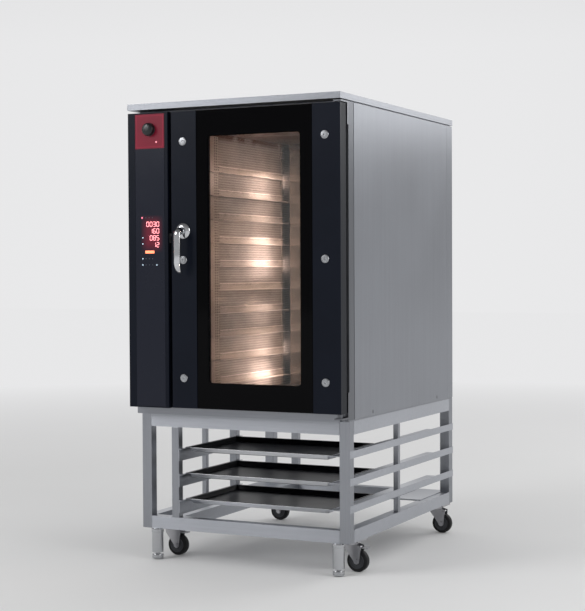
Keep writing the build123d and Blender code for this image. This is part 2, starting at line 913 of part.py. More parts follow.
def hinge_brackets():
    """Two brackets on the column, each with an arm and a pin."""
    leaf_left = door_right - hinge_leaf_width
    arm_left = door_right - hinge_arm_width
    leaf_front = casing_front - hinge_leaf_depth
    low_arm = door_bottom - hinge_arm_gap
    low = block(
        leaf_left, door_right, leaf_front, casing_front, oven_bottom + 1, door_bottom + hinge_leaf_height
    )
    low += block(
        arm_left, door_right, hinge_arm_front, casing_front, low_arm - hinge_arm_thickness, low_arm
    )
    low += rod_z(hinge_x, hinge_y, low_arm - 1, door_bottom + hinge_pin_grip, hinge_pin_radius)
    low += rod_z(hinge_x, hinge_y, low_arm - 1, door_bottom - touch_clearance, hinge_pin_radius + 4)
    high_arm = door_top + hinge_top_gap
    top = high_arm + hinge_arm_thickness
    high = block(leaf_left, door_right, leaf_front, casing_front, door_top - hinge_leaf_height, top)
    high += block(arm_left, door_right, hinge_arm_front, casing_front, high_arm, top)
    high += rod_z(hinge_x, hinge_y, door_top - hinge_pin_grip, top - 1, hinge_pin_radius)
    return group([low, high])


def stand_posts():
    """Corner posts, slim middle posts, and the inner posts of the tray bay."""
    posts = []
    for side in (-1, 1):
        outer = side * stand_half
        inner = side * (stand_half - tube_width)
        x0, x1 = sorted((outer, inner))
        for y0, y1 in ((stand_front, stand_front + tube_depth), (stand_rear - tube_width, stand_rear)):
            posts.append(square_tube(x0, x1, y0, y1, stand_bottom, oven_bottom, "z"))
        x0, x1 = sorted((outer, side * (stand_half - mid_post_width)))
        y0 = tray_front + tray_depth + 9
        posts.append(square_tube(x0, x1, y0, y0 + mid_post_width, rail_bottom, rail_top, "z"))
    left = inner_post_right - inner_post_width
    for y0 in (stand_front, tray_front + tray_depth + 9, stand_rear - tube_width):
        y1 = y0 + inner_post_width
        posts.append(square_tube(left, inner_post_right, y0, y1, rail_bottom, rail_top, "z"))
    return group(posts)


def stand_rails(z0, z1):
    """A ring of four rails between the corner posts, with one inner rail."""
    side = stand_half - tube_width
    y_front = stand_front + tube_depth
    y_rear = stand_rear - tube_width
    left = inner_post_right - inner_post_width
    return [
        square_tube(-side, side, stand_front, y_front, z0, z1, "x"),
        square_tube(-side, side, y_rear, stand_rear, z0, z1, "x"),
        square_tube(-stand_half, -side, y_front, y_rear, z0, z1, "y"),
        square_tube(side, stand_half, y_front, y_rear, z0, z1, "y"),
        square_tube(left, inner_post_right, y_front, y_rear, z0, z1, "y"),
    ]


def stand_top_rails():
    """Rails that the oven stands on."""
    return group(stand_rails(rail_top, oven_bottom))


def stand_bottom_rails():
    """Rails that carry the legs and castors, with two plates in the rear corners."""
    rails = stand_rails(stand_bottom, rail_bottom)
    inner = stand_half - tube_width + 10
    y_rear = stand_rear - tube_width
    for side in (-1, 1):
        rails.append(block(
            side * inner, side * (inner - shelf_width), y_rear - shelf_length, y_rear,
            rail_bottom, rail_bottom + shelf_sheet,
        ))
    return group(rails)


def stand_runners():
    """Angle runners for the trays: long ones outside right, short ones inside left."""
    runners = []
    y_front = stand_front + tube_depth
    y_rear = stand_rear - tube_width
    mid_y = tray_front + tray_depth + 9
    outer = stand_half + runner_sheet
    for top in runner_tops:
        ledge = block(ledge_right_end, stand_half, y_front, y_rear, top - runner_sheet, top)
        ledge -= block(
            stand_half - mid_post_width, outer, mid_y, mid_y + mid_post_width, top - 5, top + 5
        )
        flange_top = top - runner_sheet + runner_flange
        flange = block(stand_half, outer, stand_front, stand_rear, top - runner_sheet, flange_top)
        runners.append(ledge + flange)
        y_end = mid_y + inner_post_width
        left = block(inner_post_right, ledge_left_end, stand_front, y_end, top - runner_sheet, top)
        side = inner_post_right + runner_sheet
        left += block(inner_post_right, side, stand_front, y_end, top - left_flange, top)
        runners.append(left)
    return group(runners)


def tray(top):
    """Shallow baking tray that hangs by its rim on two runners."""
    middle_x = tray_left + tray_width / 2
    middle_y = tray_front + tray_depth / 2
    under = top + touch_clearance
    rim_top = under + tray_sheet
    floor = rim_top - tray_height

    def pan(shrink, z0, z1):
        wide = tray_width - 2 * tray_rim - 2 * shrink
        deep = tray_depth - 2 * tray_rim - 2 * shrink
        upper = Pos(middle_x, middle_y, z1) * RectangleRounded(wide, deep, tray_radius)
        lower = Pos(middle_x, middle_y, z0) * RectangleRounded(
            wide - 2 * tray_slope, deep - 2 * tray_slope, tray_radius
        )
        return loft([lower, upper])

    rim = extrude(RectangleRounded(tray_width, tray_depth, tray_radius), tray_sheet)
    body = Pos(middle_x, middle_y, under) * rim + pan(0, floor, rim_top)
    return body - pan(tray_sheet, floor + tray_sheet, rim_top + 0.01)


def leg_tubes():
    """Two legs at the front, each with a collar and a threaded plug."""
    legs = []
    foot_top = foot_lift + foot_height + foot_travel
    for x, y in leg_places:
        leg = rod_z(x, y, foot_top, stand_bottom, leg_radius)
        leg += rod_z(x, y, stand_bottom - 16, stand_bottom, leg_radius + 2)
        leg -= rod_z(x, y, foot_top + foot_plug, stand_bottom + 1, leg_radius - leg_wall)
        bore = foot_stem_radius + running_clearance
        legs.append(leg - rod_z(x, y, foot_top - 1, stand_bottom, bore))
    return group(legs)


def levelling_foot(x, y):
    """Screw foot: a round pad and its stem."""
    pad_top = foot_lift + foot_height
    pad = rod_z(x, y, foot_lift, pad_top, leg_radius)
    rims = pad.edges().filter_by(GeomType.CIRCLE)
    pad = fillet(rims, 2)
    return pad + rod_z(x, y, pad_top - 2, pad_top + foot_travel + foot_plug + 15, foot_stem_radius)


def castor_plates():
    """Four mounting plates under the stand, each with its swivel pin."""
    plates = []
    low = castor_height - castor_plate_thickness
    for x, y in castor_places.values():
        half_x = castor_plate_length / 2
        half_y = castor_plate_width / 2
        plate = block(x - half_x, x + half_x, y - half_y, y + half_y, low, castor_height)
        plates.append(plate + rod_z(x, y, low - swivel_pin_length, low + 1, swivel_pin_radius))
    return group(plates)


def castor_fork(x, y):
    """Fork that swivels on the plate's pin and holds the wheel's axle."""
    fork = rod_z(x, y, swivel_bottom, swivel_top, swivel_radius)
    inner = wheel_width / 2 + fork_gap
    axle_x = x + castor_trail
    top = swivel_bottom + 2
    outline = Polyline(
        (x - 14, top), (x + 28, top), (x + brake_pivot + 8, brake_z + 6),
        (x + brake_pivot + 8, brake_z - 8), (axle_x + 11, wheel_radius),
        (axle_x - 11, wheel_radius), (x - 14, top - 14), close=True,
    )
    cheek = make_face(Plane.XZ * outline)
    for y0 in (y - inner - fork_sheet, y + inner):
        side = Pos(0, y0, 0) * extrude(cheek, fork_sheet, dir=(0, 1, 0))
        fork += [side, rod_y(axle_x, y0, y0 + fork_sheet, wheel_radius, 11)]
    fork += rod_y(axle_x, y - inner - fork_sheet, y + inner + fork_sheet, wheel_radius, axle_radius)
    for y0 in (y - inner - fork_sheet - 5, y + inner + fork_sheet):
        fork += rod_y(axle_x, y0, y0 + 5, wheel_radius, 8)
    pin = brake_pin_radius + running_clearance
    fork -= rod_y(x + brake_pivot, y - inner - 5, y + inner + 5, brake_z, pin)
    hole = swivel_pin_radius + running_clearance
    return fork - rod_z(x, y, swivel_bottom - 5, swivel_top + 1, hole)


def castor_wheel(x, y):
    """Wheel with a rounded tread and a dished hub."""
    axle_x = x + castor_trail
    half = wheel_width / 2
    wheel = rod_y(axle_x, y - half, y + half, wheel_radius, wheel_radius)
    wheel = fillet(wheel.edges().filter_by(GeomType.CIRCLE), 5)
    for side in (-1, 1):
        y0, y1 = sorted((y + side * half + side, y + side * (half - 3)))
        dish = rod_y(axle_x, y0, y1, wheel_radius, wheel_radius * 0.65)
        dish -= rod_y(axle_x, y0, y1, wheel_radius, axle_radius * 2)
        wheel -= dish
    bore = axle_radius + running_clearance
    return wheel - rod_y(axle_x, y - half - 1, y + half + 1, wheel_radius, bore)


def castor_brake(x, y):
    """Foot lever between the cheeks of the fork."""
    pivot = x + brake_pivot
    half = brake_width / 2
    low = brake_z - brake_sheet / 2
    lever = block(pivot - 5, pivot + brake_length, y - half, y + half, low, low + brake_sheet)
    lever += rod_y(pivot, y - half, y + half, brake_z, 5)
    reach = wheel_width / 2 + fork_gap + fork_sheet
    return lever + rod_y(pivot, y - reach, y + reach, brake_z, brake_pin_radius)


def build_pieces():
    """Every node by name, in the layout frame."""
    pieces = {
        "top_cover": top_cover(),
        "left_side_panel": side_panel(-1, casing_front),
        "right_side_panel": side_panel(1, panel_front),
        "rear_corner_posts": rear_corner_posts(),
        "rear_panel": rear_panel(),
        "cable_gland": cable_gland(),
        "steam_outlet": steam_outlet(),
        "base_pan": base_pan(),
        "plinth_strip": plinth_strip(),
        "hinge_column": hinge_column(),
        "face_frame": face_frame(),
        "chamber_liner": chamber_liner(),
        "insulation": insulation(),
        "compartment_wall": compartment_wall(),
        "mouth_gasket": mouth_gasket(),
        "fan_baffle": fan_baffle(),
        "left_tray_rack": tray_rack(-1),
        "right_tray_rack": tray_rack(1),
        "lower_fan_wheel": fan_wheel(fan_heights[0]),
        "upper_fan_wheel": fan_wheel(fan_heights[1]),
        "fan_motors": fan_motors(),
        "heating_coils": heating_coils(),
        "chamber_lamps": chamber_lamps(),
        "power_unit": power_unit(),
        "control_frame": control_frame(),
        "control_fascia": control_fascia(),
        "knob_panel": knob_panel(),
        "control_knob": control_knob(),
        "control_electronics": control_electronics(),
        "door_frame": door_frame(),
        "door_front_glass": door_front_glass(),
        "door_side_plates": door_side_plates(),
        "door_caps": door_caps(),
        "door_inner_glass": door_inner_glass(),
        "handle_escutcheon": handle_escutcheon(),
        "handle_lever": handle_lever(),
        "latch_tongue": latch_tongue(),
        "latch_keeper": latch_keeper(),
        "hinge_brackets": hinge_brackets(),
        "stand_posts": stand_posts(),
        "stand_top_rails": stand_top_rails(),
        "stand_bottom_rails": stand_bottom_rails(),
        "stand_runners": stand_runners(),
        "leg_tubes": leg_tubes(),
        "castor_plates": castor_plates(),
    }
    for i, top in enumerate(runner_tops):
        pieces[f"tray_{i + 1}"] = tray(top)
    for side, (x, y) in zip(("left", "right"), leg_places):
        pieces[f"{side}_foot"] = levelling_foot(x, y)
    for name, (x, y) in castor_places.items():
        pieces[f"{name}_fork"] = castor_fork(x, y)
        pieces[f"{name}_wheel"] = castor_wheel(x, y)
        if name.startswith("front"):
            pieces[f"{name}_brake"] = castor_brake(x, y)
    return pieces


def footprint_middle(pieces):
    """Middle of the footprint of all pieces, in the layout frame."""
    boxes = [piece.bounding_box() for piece in pieces.values()]
    middle_x = (min(box.min.X for box in boxes) + max(box.max.X for box in boxes)) / 2
    middle_y = (min(box.min.Y for box in boxes) + max(box.max.Y for box in boxes)) / 2
    return middle_x, middle_y


def main():
    os.makedirs("parts", exist_ok=True)
    pieces = build_pieces()
    middle_x, middle_y = footprint_middle(pieces)
    print("footprint middle in the layout frame", round(middle_x, 4), round(middle_y, 4))
    for name, piece in pieces.items():
        export_step(Pos(-middle_x, -middle_y, 0) * piece, f"parts/{name}.step")


if __name__ == "__main__":
    main()
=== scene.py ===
"""Convection oven on a wheeled stand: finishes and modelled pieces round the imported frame."""
import math

import bpy
from bpy.props import FloatProperty, FloatVectorProperty, PointerProperty
from mathutils import Matrix, Quaternion, Vector


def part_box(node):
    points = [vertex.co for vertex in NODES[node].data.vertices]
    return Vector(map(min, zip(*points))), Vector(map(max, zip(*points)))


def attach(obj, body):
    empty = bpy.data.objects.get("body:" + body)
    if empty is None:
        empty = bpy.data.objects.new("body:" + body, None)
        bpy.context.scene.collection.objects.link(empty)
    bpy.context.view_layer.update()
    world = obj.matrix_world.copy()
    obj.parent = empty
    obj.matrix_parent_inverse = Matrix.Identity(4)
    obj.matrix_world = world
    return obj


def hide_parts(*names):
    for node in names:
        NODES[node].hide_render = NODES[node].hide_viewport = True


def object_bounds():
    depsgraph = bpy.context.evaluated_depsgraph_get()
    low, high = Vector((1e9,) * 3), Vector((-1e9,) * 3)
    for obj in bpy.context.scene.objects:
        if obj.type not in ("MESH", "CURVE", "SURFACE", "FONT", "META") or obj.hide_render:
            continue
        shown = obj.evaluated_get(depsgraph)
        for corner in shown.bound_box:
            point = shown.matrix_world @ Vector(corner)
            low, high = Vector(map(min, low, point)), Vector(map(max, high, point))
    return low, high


bl_info = {
    "name": "Convection oven",
    "version": (1, 0, 0),
    "blender": (4, 5, 0),
    "location": "View3D > Sidebar > Oven",
    "description": "Finishes and detailed pieces of a convection oven on its stand",
    "category": "Object",
}

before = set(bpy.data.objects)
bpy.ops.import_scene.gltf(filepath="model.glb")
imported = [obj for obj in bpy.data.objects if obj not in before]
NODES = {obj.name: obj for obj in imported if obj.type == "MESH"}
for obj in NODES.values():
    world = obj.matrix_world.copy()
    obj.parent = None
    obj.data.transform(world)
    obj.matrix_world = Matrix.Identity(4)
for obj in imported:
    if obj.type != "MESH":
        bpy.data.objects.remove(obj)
CAD_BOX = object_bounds()
MM = 0.001
SEAM = 0.00001  # points nearer than this, in metres, are one
CASTORS = ("front_left", "front_right", "rear_left", "rear_right")

# Camera, as solved from the photograph, in the row frame
CAMERA_PLACE = Vector((2.4852, -5.0942, 1.077))
CAMERA_AZIMUTH = math.radians(26.25)
CAMERA_PITCH = math.radians(1.37)
CAMERA_ROLL = math.radians(-0.277)
CAMERA_LENS = 85.93
CAMERA_SENSOR = 36.0

# Backdrop: white with a trace of blue, and the level direction in which it is palest
PALE = (1, 1, 1.01, 1)
PALEST = (-0.44, 0.90)

# Bars of the seven-bar figures, named clockwise from the top, with g across the middle
BARS = {
    "0": "abcdef", "1": "bc", "2": "abged", "3": "abgcd", "4": "fgbc",
    "5": "afgcd", "6": "afgedc", "7": "abc", "8": "abcdefg", "9": "abcfgd",
}


class Wire:
    """A shader value; arithmetic on it adds Math nodes."""

    def __init__(self, tree, socket):
        self.tree = tree
        self.socket = socket

    def math(self, operation, *values):
        node = self.tree.nodes.new("ShaderNodeMath")
        node.operation = operation
        for slot, value in zip(node.inputs, (self, *values)):
            feed(self.tree, slot, value)
        return Wire(self.tree, node.outputs[0])

    def __add__(self, other):
        return self.math("ADD", other)

    __radd__ = __add__

    def __sub__(self, other):
        return self.math("SUBTRACT", other)

    def __rsub__(self, other):
        return self.math("MULTIPLY", -1.0).math("ADD", other)

    def __mul__(self, other):
        return self.math("MULTIPLY", other)

    __rmul__ = __mul__

    def __truediv__(self, other):
        return self.math("DIVIDE", other)

    def absolute(self):
        return self.math("ABSOLUTE")

    def over(self, edge, soft):
        """0 below the edge and 1 above it, with a soft step."""
        return ((self - (edge - soft / 2)) / soft).math("MAXIMUM", 0.0).math("MINIMUM", 1.0)

    def under(self, edge, soft):
        """1 below the edge and 0 above it, with a soft step."""
        return 1.0 - self.over(edge, soft)


def feed(tree, slot, value):
    """Links a wire to a node's socket, or writes a plain value there."""
    if isinstance(value, Wire):
        tree.links.new(value.socket, slot)
    else:
        slot.default_value = value


class Nodes:
    """An emptied node tree, to which nodes are added."""

    def __init__(self, tree):
        self.tree = tree
        self.tree.nodes.clear()

    def node(self, kind, settings=None, values=None, output=0):
        """Adds a node with its settings and its sockets' values, and gives one output."""
        made = self.tree.nodes.new(kind)
        for name, value in (settings or {}).items():
            setattr(made, name, value)
        for name, value in (values or {}).items():
            feed(self.tree, made.inputs[name], value)
        return Wire(self.tree, made.outputs[output])

    def split(self, vector):
        """A vector's three values."""
        parts = self.tree.nodes.new("ShaderNodeSeparateXYZ")
        self.tree.links.new(vector.socket, parts.inputs[0])
        return [Wire(self.tree, output) for output in parts.outputs]

    def between(self, factor, low, high):
        """A shader between two others."""
        return self.node("ShaderNodeMixShader", values={0: factor, 1: low, 2: high})


class Finish(Nodes):
    """One material: a Principled shader and the nodes that vary it."""

    def __init__(self, name, colour, roughness, metallic=0.0, **sockets):
        self.material = bpy.data.materials.new(name)
        self.material.use_nodes = True
        super().__init__(self.material.node_tree)
        self.output = self.tree.nodes.new("ShaderNodeOutputMaterial")
        self.shader = self.tree.nodes.new("ShaderNodeBsdfPrincipled")
        self.tree.links.new(self.shader.outputs[0], self.output.inputs["Surface"])
        self.colour = colour
        self.set("Base Color", (*colour, 1.0))
        self.set("Roughness", roughness)
        self.set("Metallic", metallic)
        for socket, value in sockets.items():
            self.set(socket.replace("_", " "), value)

    def set(self, socket, value):
        feed(self.tree, self.shader.inputs[socket], value)

    def axes(self):
        """Object coordinates in metres, as three values."""
        return self.split(self.node("ShaderNodeTexCoord", output="Object"))

    def noise(self, scale, detail, stretch=(1, 1, 1)):
        """Noise on Object coordinates, finer along the axes with a larger stretch."""
        where = self.node("ShaderNodeTexCoord", output="Object")
        place = self.node("ShaderNodeMapping", values={"Vector": where, "Scale": stretch})
        values = {"Vector": place, "Scale": scale, "Detail": detail}
        return self.node("ShaderNodeTexNoise", values=values)

    def tint(self, factor, dark, light):
        """Base colour between two shares of the finish's own colour."""
        low = (*shaded(self.colour, dark), 1.0)
        high = (*(min(1.0, part) for part in shaded(self.colour, light)), 1.0)
        return self.blend(factor, low, high)

    def blend(self, factor, low, high):
        """A colour between two others."""
        ends = {0: factor, 6: low, 7: high}
        return self.node("ShaderNodeMix", {"data_type": "RGBA"}, ends, output=2)

    def bump(self, height, strength, distance):
        values = {"Height": height, "Strength": strength, "Distance": distance}
        self.set("Normal", self.node("ShaderNodeBump", values=values))


def shaded(colour, share):
    """A colour made darker or lighter."""
    return tuple(part * share for part in colour)


def wave(value, pitch):
    """A triangle wave from 0 to 1 with its low point at each multiple of the pitch."""
    return (value / pitch).math("PINGPONG", 0.5) * 2.0


def brushed_steel(name, colour, grain, roughness, drag=0.8):
    """Stainless sheet brushed along one axis, with faint smudges; drag stretches highlights."""
    steel = Finish(name, colour, roughness, metallic=1.0)
    steel.set("Anisotropic", drag)
    steel.set("Anisotropic Rotation", 0.0 if grain == "z" else 0.25)
    stretch = tuple(1.0 if axis == grain else 60.0 for axis in "xyz")
    bands = steel.noise(1.6, 3.0, stretch)
    lines = steel.noise(9.0, 4.0, stretch)
    fine = steel.noise(60.0, 2.0, stretch)
    smudge = steel.noise(2.2, 4.0)
    steel.set("Roughness", roughness - 0.10 + lines * 0.12 + smudge * 0.12)
    steel.set("Base Color", steel.tint(bands * 0.3 + lines * 0.4 + smudge * 0.5, 0.72, 1.22))
    steel.bump(lines * 0.5 + fine * 0.5, 0.55, 0.0003)
    return steel.material


def enamel(name, colour, roughness):
    """Powder-coated or enamelled sheet with a fine orange-peel surface."""
    coat = Finish(name, colour, roughness, Specular_IOR_Level=0.12)
    smudge = coat.noise(6.0, 5.0)
    coat.set("Roughness", roughness - 0.05 + smudge * 0.12)
    coat.set("Base Color", coat.tint(smudge, 0.8, 1.25))
    coat.bump(coat.noise(900.0, 2.0), 0.1, 0.0001)
    return coat.material


def polished(name, colour, roughness):
    """Chromed or polished metal with faint handling marks."""
    metal = Finish(name, colour, roughness, metallic=1.0)
    smudge = metal.noise(40.0, 5.0)
    metal.set("Roughness", roughness + smudge * 0.1)
    metal.set("Base Color", metal.tint(smudge, 0.92, 1.05))
    return metal.material


def moulded(name, colour, roughness):
    """Moulded plastic or rubber, or another dull stuff, with a fine grain."""
    plastic = Finish(name, colour, roughness, Specular_IOR_Level=0.25)
    grain = plastic.noise(700.0, 3.0)
    wear = plastic.noise(25.0, 5.0)
    plastic.set("Roughness", roughness - 0.08 + wear * 0.18)
    plastic.set("Base Color", plastic.tint(wear, 0.75, 1.35))
    plastic.bump(grain, 0.25, 0.0002)
    return plastic.material


def glowing(name, colour, strength):
    """A lit indicator or lamp."""
    lamp = Finish(name, colour, 0.4)
    lamp.set("Emission Color", (*colour, 1.0))
    lamp.set("Emission Strength", strength)
    return lamp.material


def give(material, *nodes):
    """Puts a material on CAD nodes."""
    for node in nodes:
        piece = NODES[node]
        piece.data.materials.clear()
        piece.data.materials.append(material)


def soften(width, *nodes):
    """Rounds CAD nodes' edges by so many mm with live modifiers; their own meshes stay."""
    for node in nodes:
        piece = NODES[node]
        weld = piece.modifiers.new("weld", "WELD")
        weld.merge_threshold = SEAM
        bevel = piece.modifiers.new("bevel", "BEVEL")
        bevel.width = width * MM
        bevel.segments = 2
        bevel.limit_method = "ANGLE"
        bevel.angle_limit = math.radians(30)
        bevel.harden_normals = False
        normal = piece.modifiers.new("normals", "WEIGHTED_NORMAL")
        normal.keep_sharp = True


def clear_selection():
    """Leaves edit mode, with nothing selected."""
    if bpy.context.object and bpy.context.object.mode != "OBJECT":
        bpy.ops.object.mode_set(mode="OBJECT")
    bpy.ops.object.select_all(action="DESELECT")


def edit(piece):
    """Enters edit mode on one piece, with all of it selected."""
    clear_selection()
    piece.select_set(True)
    bpy.context.view_layer.objects.active = piece
    bpy.ops.object.mode_set(mode="EDIT")
    bpy.ops.mesh.select_all(action="SELECT")


def settle(piece, angle=30.0):
    """Closes a piece's seams, turns its faces outwards and puts its place in its mesh."""
    edit(piece)
    bpy.ops.mesh.remove_doubles(threshold=SEAM)
    bpy.ops.mesh.normals_make_consistent(inside=False)
    bpy.ops.object.mode_set(mode="OBJECT")
    bpy.ops.object.transform_apply(location=True, rotation=True, scale=True)
    bpy.ops.object.shade_smooth_by_angle(angle=math.radians(angle))
    return piece


def pick_faces(piece, wanted):
    """Selects the faces for which a test holds, and stays in edit mode."""
    edit(piece)
    bpy.ops.mesh.select_mode(type="FACE")
    bpy.ops.mesh.select_all(action="DESELECT")
    bpy.ops.object.mode_set(mode="OBJECT")
    for face in piece.data.polygons:
        face.select = wanted(face)
    bpy.ops.object.mode_set(mode="EDIT")


def disc(name, place, axis, radius, sides):
    """A flat disc that looks along the axis, left in edit mode."""
    clear_selection()
    turn = Vector(axis).to_track_quat("Z", "Y").to_euler()
    bpy.ops.mesh.primitive_circle_add(
        vertices=sides, radius=radius, fill_type="NGON", location=place, rotation=turn,
    )
    piece = bpy.context.object
    piece.name = piece.data.name = name
    edit(piece)
    return piece


def turned(name, base, axis, profile, sides, angle, hollow=False):
    """A lathe-turned piece. The profile gives distance along the axis and radius in mm.

    A hollow piece has a bore: its profile ends where it starts, and both end discs go.
    """
    base, axis = Vector(base), Vector(axis)
    along, radius = profile[0]
    piece = disc(name, base + axis * along * MM, axis, radius * MM, sides)
    for next_along, next_radius in profile[1:]:
        move = axis * (next_along - along) * MM
        bpy.ops.mesh.extrude_region_move(TRANSFORM_OT_translate={"value": move})
        share = next_radius / radius
        middle = base + axis * next_along * MM
        bpy.ops.transform.resize(value=(share, share, share), center_override=middle)
        along, radius = next_along, next_radius
    if hollow:
        pick_faces(piece, lambda face: len(face.vertices) > 4)
        bpy.ops.mesh.delete(type="ONLY_FACE")
    return settle(piece, angle)


def drawn_bar(name, x, stations):
    """A bar drawn out ring by ring in the plane at x.

    A station is y, z, heading from forwards to downwards in degrees, width and depth, in mm.
    """
    y, z, heading, width, depth = stations[0]
    place = Vector((x, y, z)) * MM
    piece = disc(name, place, (0, -1, 0), MM, 32)
    bpy.ops.transform.resize(value=(width / 2, 1, depth / 2), center_override=place)
    for station in stations[1:]:
        next_y, next_z, next_heading, next_width, next_depth = station
        move = Vector((0, next_y - y, next_z - z)) * MM
        bpy.ops.mesh.extrude_region_move(TRANSFORM_OT_translate={"value": move})
        place = Vector((x, next_y, next_z)) * MM
        across, deep = next_width / width, next_depth / depth
        bpy.ops.transform.resize(value=(across, deep, deep), center_override=place)
        turn = -math.radians(next_heading - heading)
        bpy.ops.transform.rotate(value=turn, orient_axis="X", center_override=place)
        y, z, heading, width, depth = station
    return settle(piece, 40.0)


def slab(name, low, high, bevel):
    """A block between two corners, with rounded edges, in mm."""
    clear_selection()
    low, high = Vector(low) * MM, Vector(high) * MM
    bpy.ops.mesh.primitive_cube_add(size=1.0, location=(low + high) / 2, scale=high - low)
    piece = bpy.context.object
    piece.name = piece.data.name = name
    bpy.ops.object.transform_apply(location=False, rotation=False, scale=True)
    edit(piece)
    bpy.ops.mesh.bevel(offset=bevel * MM, segments=2, affect="EDGES")
    return settle(piece)


def copied(piece, name, move=(0, 0, 0)):
    """The same shape moved by so many mm, with a mesh of its own."""
    other = piece.copy()
    other.data = piece.data.copy()
    other.name = other.data.name = name
    other.data.transform(Matrix.Translation(Vector(move) * MM))
    bpy.context.scene.collection.objects.link(other)
    return other


def joined(name, pieces):
    """Several pieces made one."""
    clear_selection()
    for piece in pieces:
        piece.select_set(True)
    bpy.context.view_layer.objects.active = pieces[0]
    bpy.ops.object.join()
    pieces[0].name = pieces[0].data.name = name
    return pieces[0]


def repeated(name, piece, moves):
    """One piece made of copies of another, at each of the moves in mm."""
    copies = [copied(piece, f"{name}_copy", move) for move in moves]
    bpy.data.objects.remove(piece)
    return joined(name, copies)


def fit(piece, body, slot, material, *nodes):
    """Gives a piece its finish, its body and the CAD nodes it stands for."""
    if material:
        piece.data.materials.append(material)
    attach(piece, body)
    if nodes:
        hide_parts(*nodes)


def soft_light(name, place, target, size, power, colour=(1, 1, 1)):
    """A square area light that faces its target."""
    data = bpy.data.lights.new(name, "AREA")
    data.size = size
    data.energy = power
    data.color = colour
    light = bpy.data.objects.new(name, data)
    light.location = place
    light.rotation_euler = (Vector(target) - Vector(place)).to_track_quat("-Z", "Y").to_euler()
    light.visible_camera = False
    bpy.context.scene.collection.objects.link(light)


class OvenSettings(bpy.types.PropertyGroup):
    """Colours and light that a user would change."""

    steel: FloatVectorProperty(
        name="Steel", description="Colour of the stainless sheet",
        default=(0.31, 0.322, 0.35), subtype="COLOR", min=0, max=1,
    )
    enamel: FloatVectorProperty(
        name="Enamel", description="Colour of the dark door and control column",
        default=(0.0040, 0.0060, 0.0125), subtype="COLOR", min=0, max=1,
    )
    panel_red: FloatVectorProperty(
        name="Red block", description="Colour of the block behind the knob",
        default=(0.21, 0.009, 0.028), subtype="COLOR", min=0, max=1,
    )
    chamber_glow: FloatProperty(
        name="Chamber light", description="Power of the lamps in the chamber",
        default=0.75, min=0, max=50, subtype="POWER",
    )
    backdrop: FloatProperty(
        name="Backdrop", description="Brightness of the wall and floor behind the oven",
        default=0.82, min=0, max=1, subtype="FACTOR",
    )
    key_power: FloatProperty(
        name="Key light", description="Power of the large soft light",
        default=115.0, min=0, max=2000, subtype="POWER",
    )


def settings():
    return bpy.context.scene.oven


class OVEN_OT_stage(bpy.types.Operator):
    """Floor, backdrop, world, lights and camera."""

    bl_idname = "oven.stage"
    bl_label = "Stage"

    def execute(self, context):
        scene = context.scene
        scene.view_settings.view_transform = "Standard"
        tone = settings().backdrop
        clear_selection()
        bpy.ops.mesh.primitive_plane_add(size=60.0, location=(0, 0, 0))
        floor = context.object
        floor.name = "studio_floor"
        floor.data.materials.append(self.ground(tone))
        self.world(scene, tone)
        middle = (CAD_BOX[0] + CAD_BOX[1]) / 2
        power = settings().key_power
        size = 2.6
        soft_light("key", (-3.6, -4.6, 3.6), middle, size, power)
        soft_light("side", (4.8, -1.0, 2.6), middle, size, power * 0.55)
        soft_light("rear", (2.6, 4.6, 3.3), middle, size, power * 0.5)
        self.camera(scene)
        return {"FINISHED"}

    def ground(self, tone):
        """A pale floor that fades to one plain tone where the lamps no longer reach it."""
        ground = Finish("studio_floor", (tone, tone, tone), 0.7)
        ground.set("Base Color", ground.tint(ground.noise(1.5, 4.0), 0.985, 1.01))
        x, y, _ = ground.axes()
        far = (x * x + y * y).math("SQRT").over(5.5, 6.0)
        lit = Wire(ground.tree, ground.shader.outputs[0])
        plain = ground.node(
            "ShaderNodeEmission", values={"Color": PALE, "Strength": tone * 0.98})
        shown = ground.between(far, lit, plain)
        ground.tree.links.new(shown.socket, ground.output.inputs["Surface"])
        return ground.material

    def wall(self, x, y, tone):
        """Brightness of the wall by direction: palest behind the oven in the photograph."""
        toward = (y * PALEST[1] + x * PALEST[0]).over(0.65, 0.7)
        return toward * (tone * 0.46) + tone * 0.54

    def world(self, scene, tone):
        """A pale wall all round under a dimmer ceiling; what is seen isn't what lights."""
        scene.world = bpy.data.worlds.new("studio")
        scene.world.use_nodes = True
        room = Nodes(scene.world.node_tree)
        rays = room.tree.nodes.new("ShaderNodeLightPath").outputs
        seen = Wire(room.tree, rays["Is Camera Ray"])
        for ray in ("Is Glossy Ray", "Is Transmission Ray"):
            seen = seen.math("MAXIMUM", Wire(room.tree, rays[ray]))
        x, y, z = room.split(room.node("ShaderNodeTexCoord", output="Generated"))
        level = self.wall(x, y, tone) * (1.0 - z.over(0.5, 0.7) * 0.6)
        lighting = room.node(
            "ShaderNodeBackground", values={"Color": (1, 1, 1, 1), "Strength": 0.6})
        backdrop = room.node("ShaderNodeBackground", values={"Color": PALE, "Strength": level})
        shown = room.between(seen, lighting, backdrop)
        output = room.tree.nodes.new("ShaderNodeOutputWorld")
        room.tree.links.new(shown.socket, output.inputs["Surface"])

    def camera(self, scene):
        """The photograph's viewpoint."""
        data = bpy.data.cameras.new("camera")
        data.sensor_width = CAMERA_SENSOR
        data.lens = CAMERA_LENS
        data.clip_end = 100.0
        camera = bpy.data.objects.new("camera", data)
        scene.collection.objects.link(camera)
        back = Vector((
            math.sin(CAMERA_AZIMUTH) * math.cos(CAMERA_PITCH),
            -math.cos(CAMERA_AZIMUTH) * math.cos(CAMERA_PITCH),
            math.sin(CAMERA_PITCH),
        ))
        turn = (-back).to_track_quat("-Z", "Y") @ Quaternion((0, 0, 1), CAMERA_ROLL)
        camera.location = CAMERA_PLACE
        camera.rotation_euler = turn.to_euler()
        scene.camera = camera


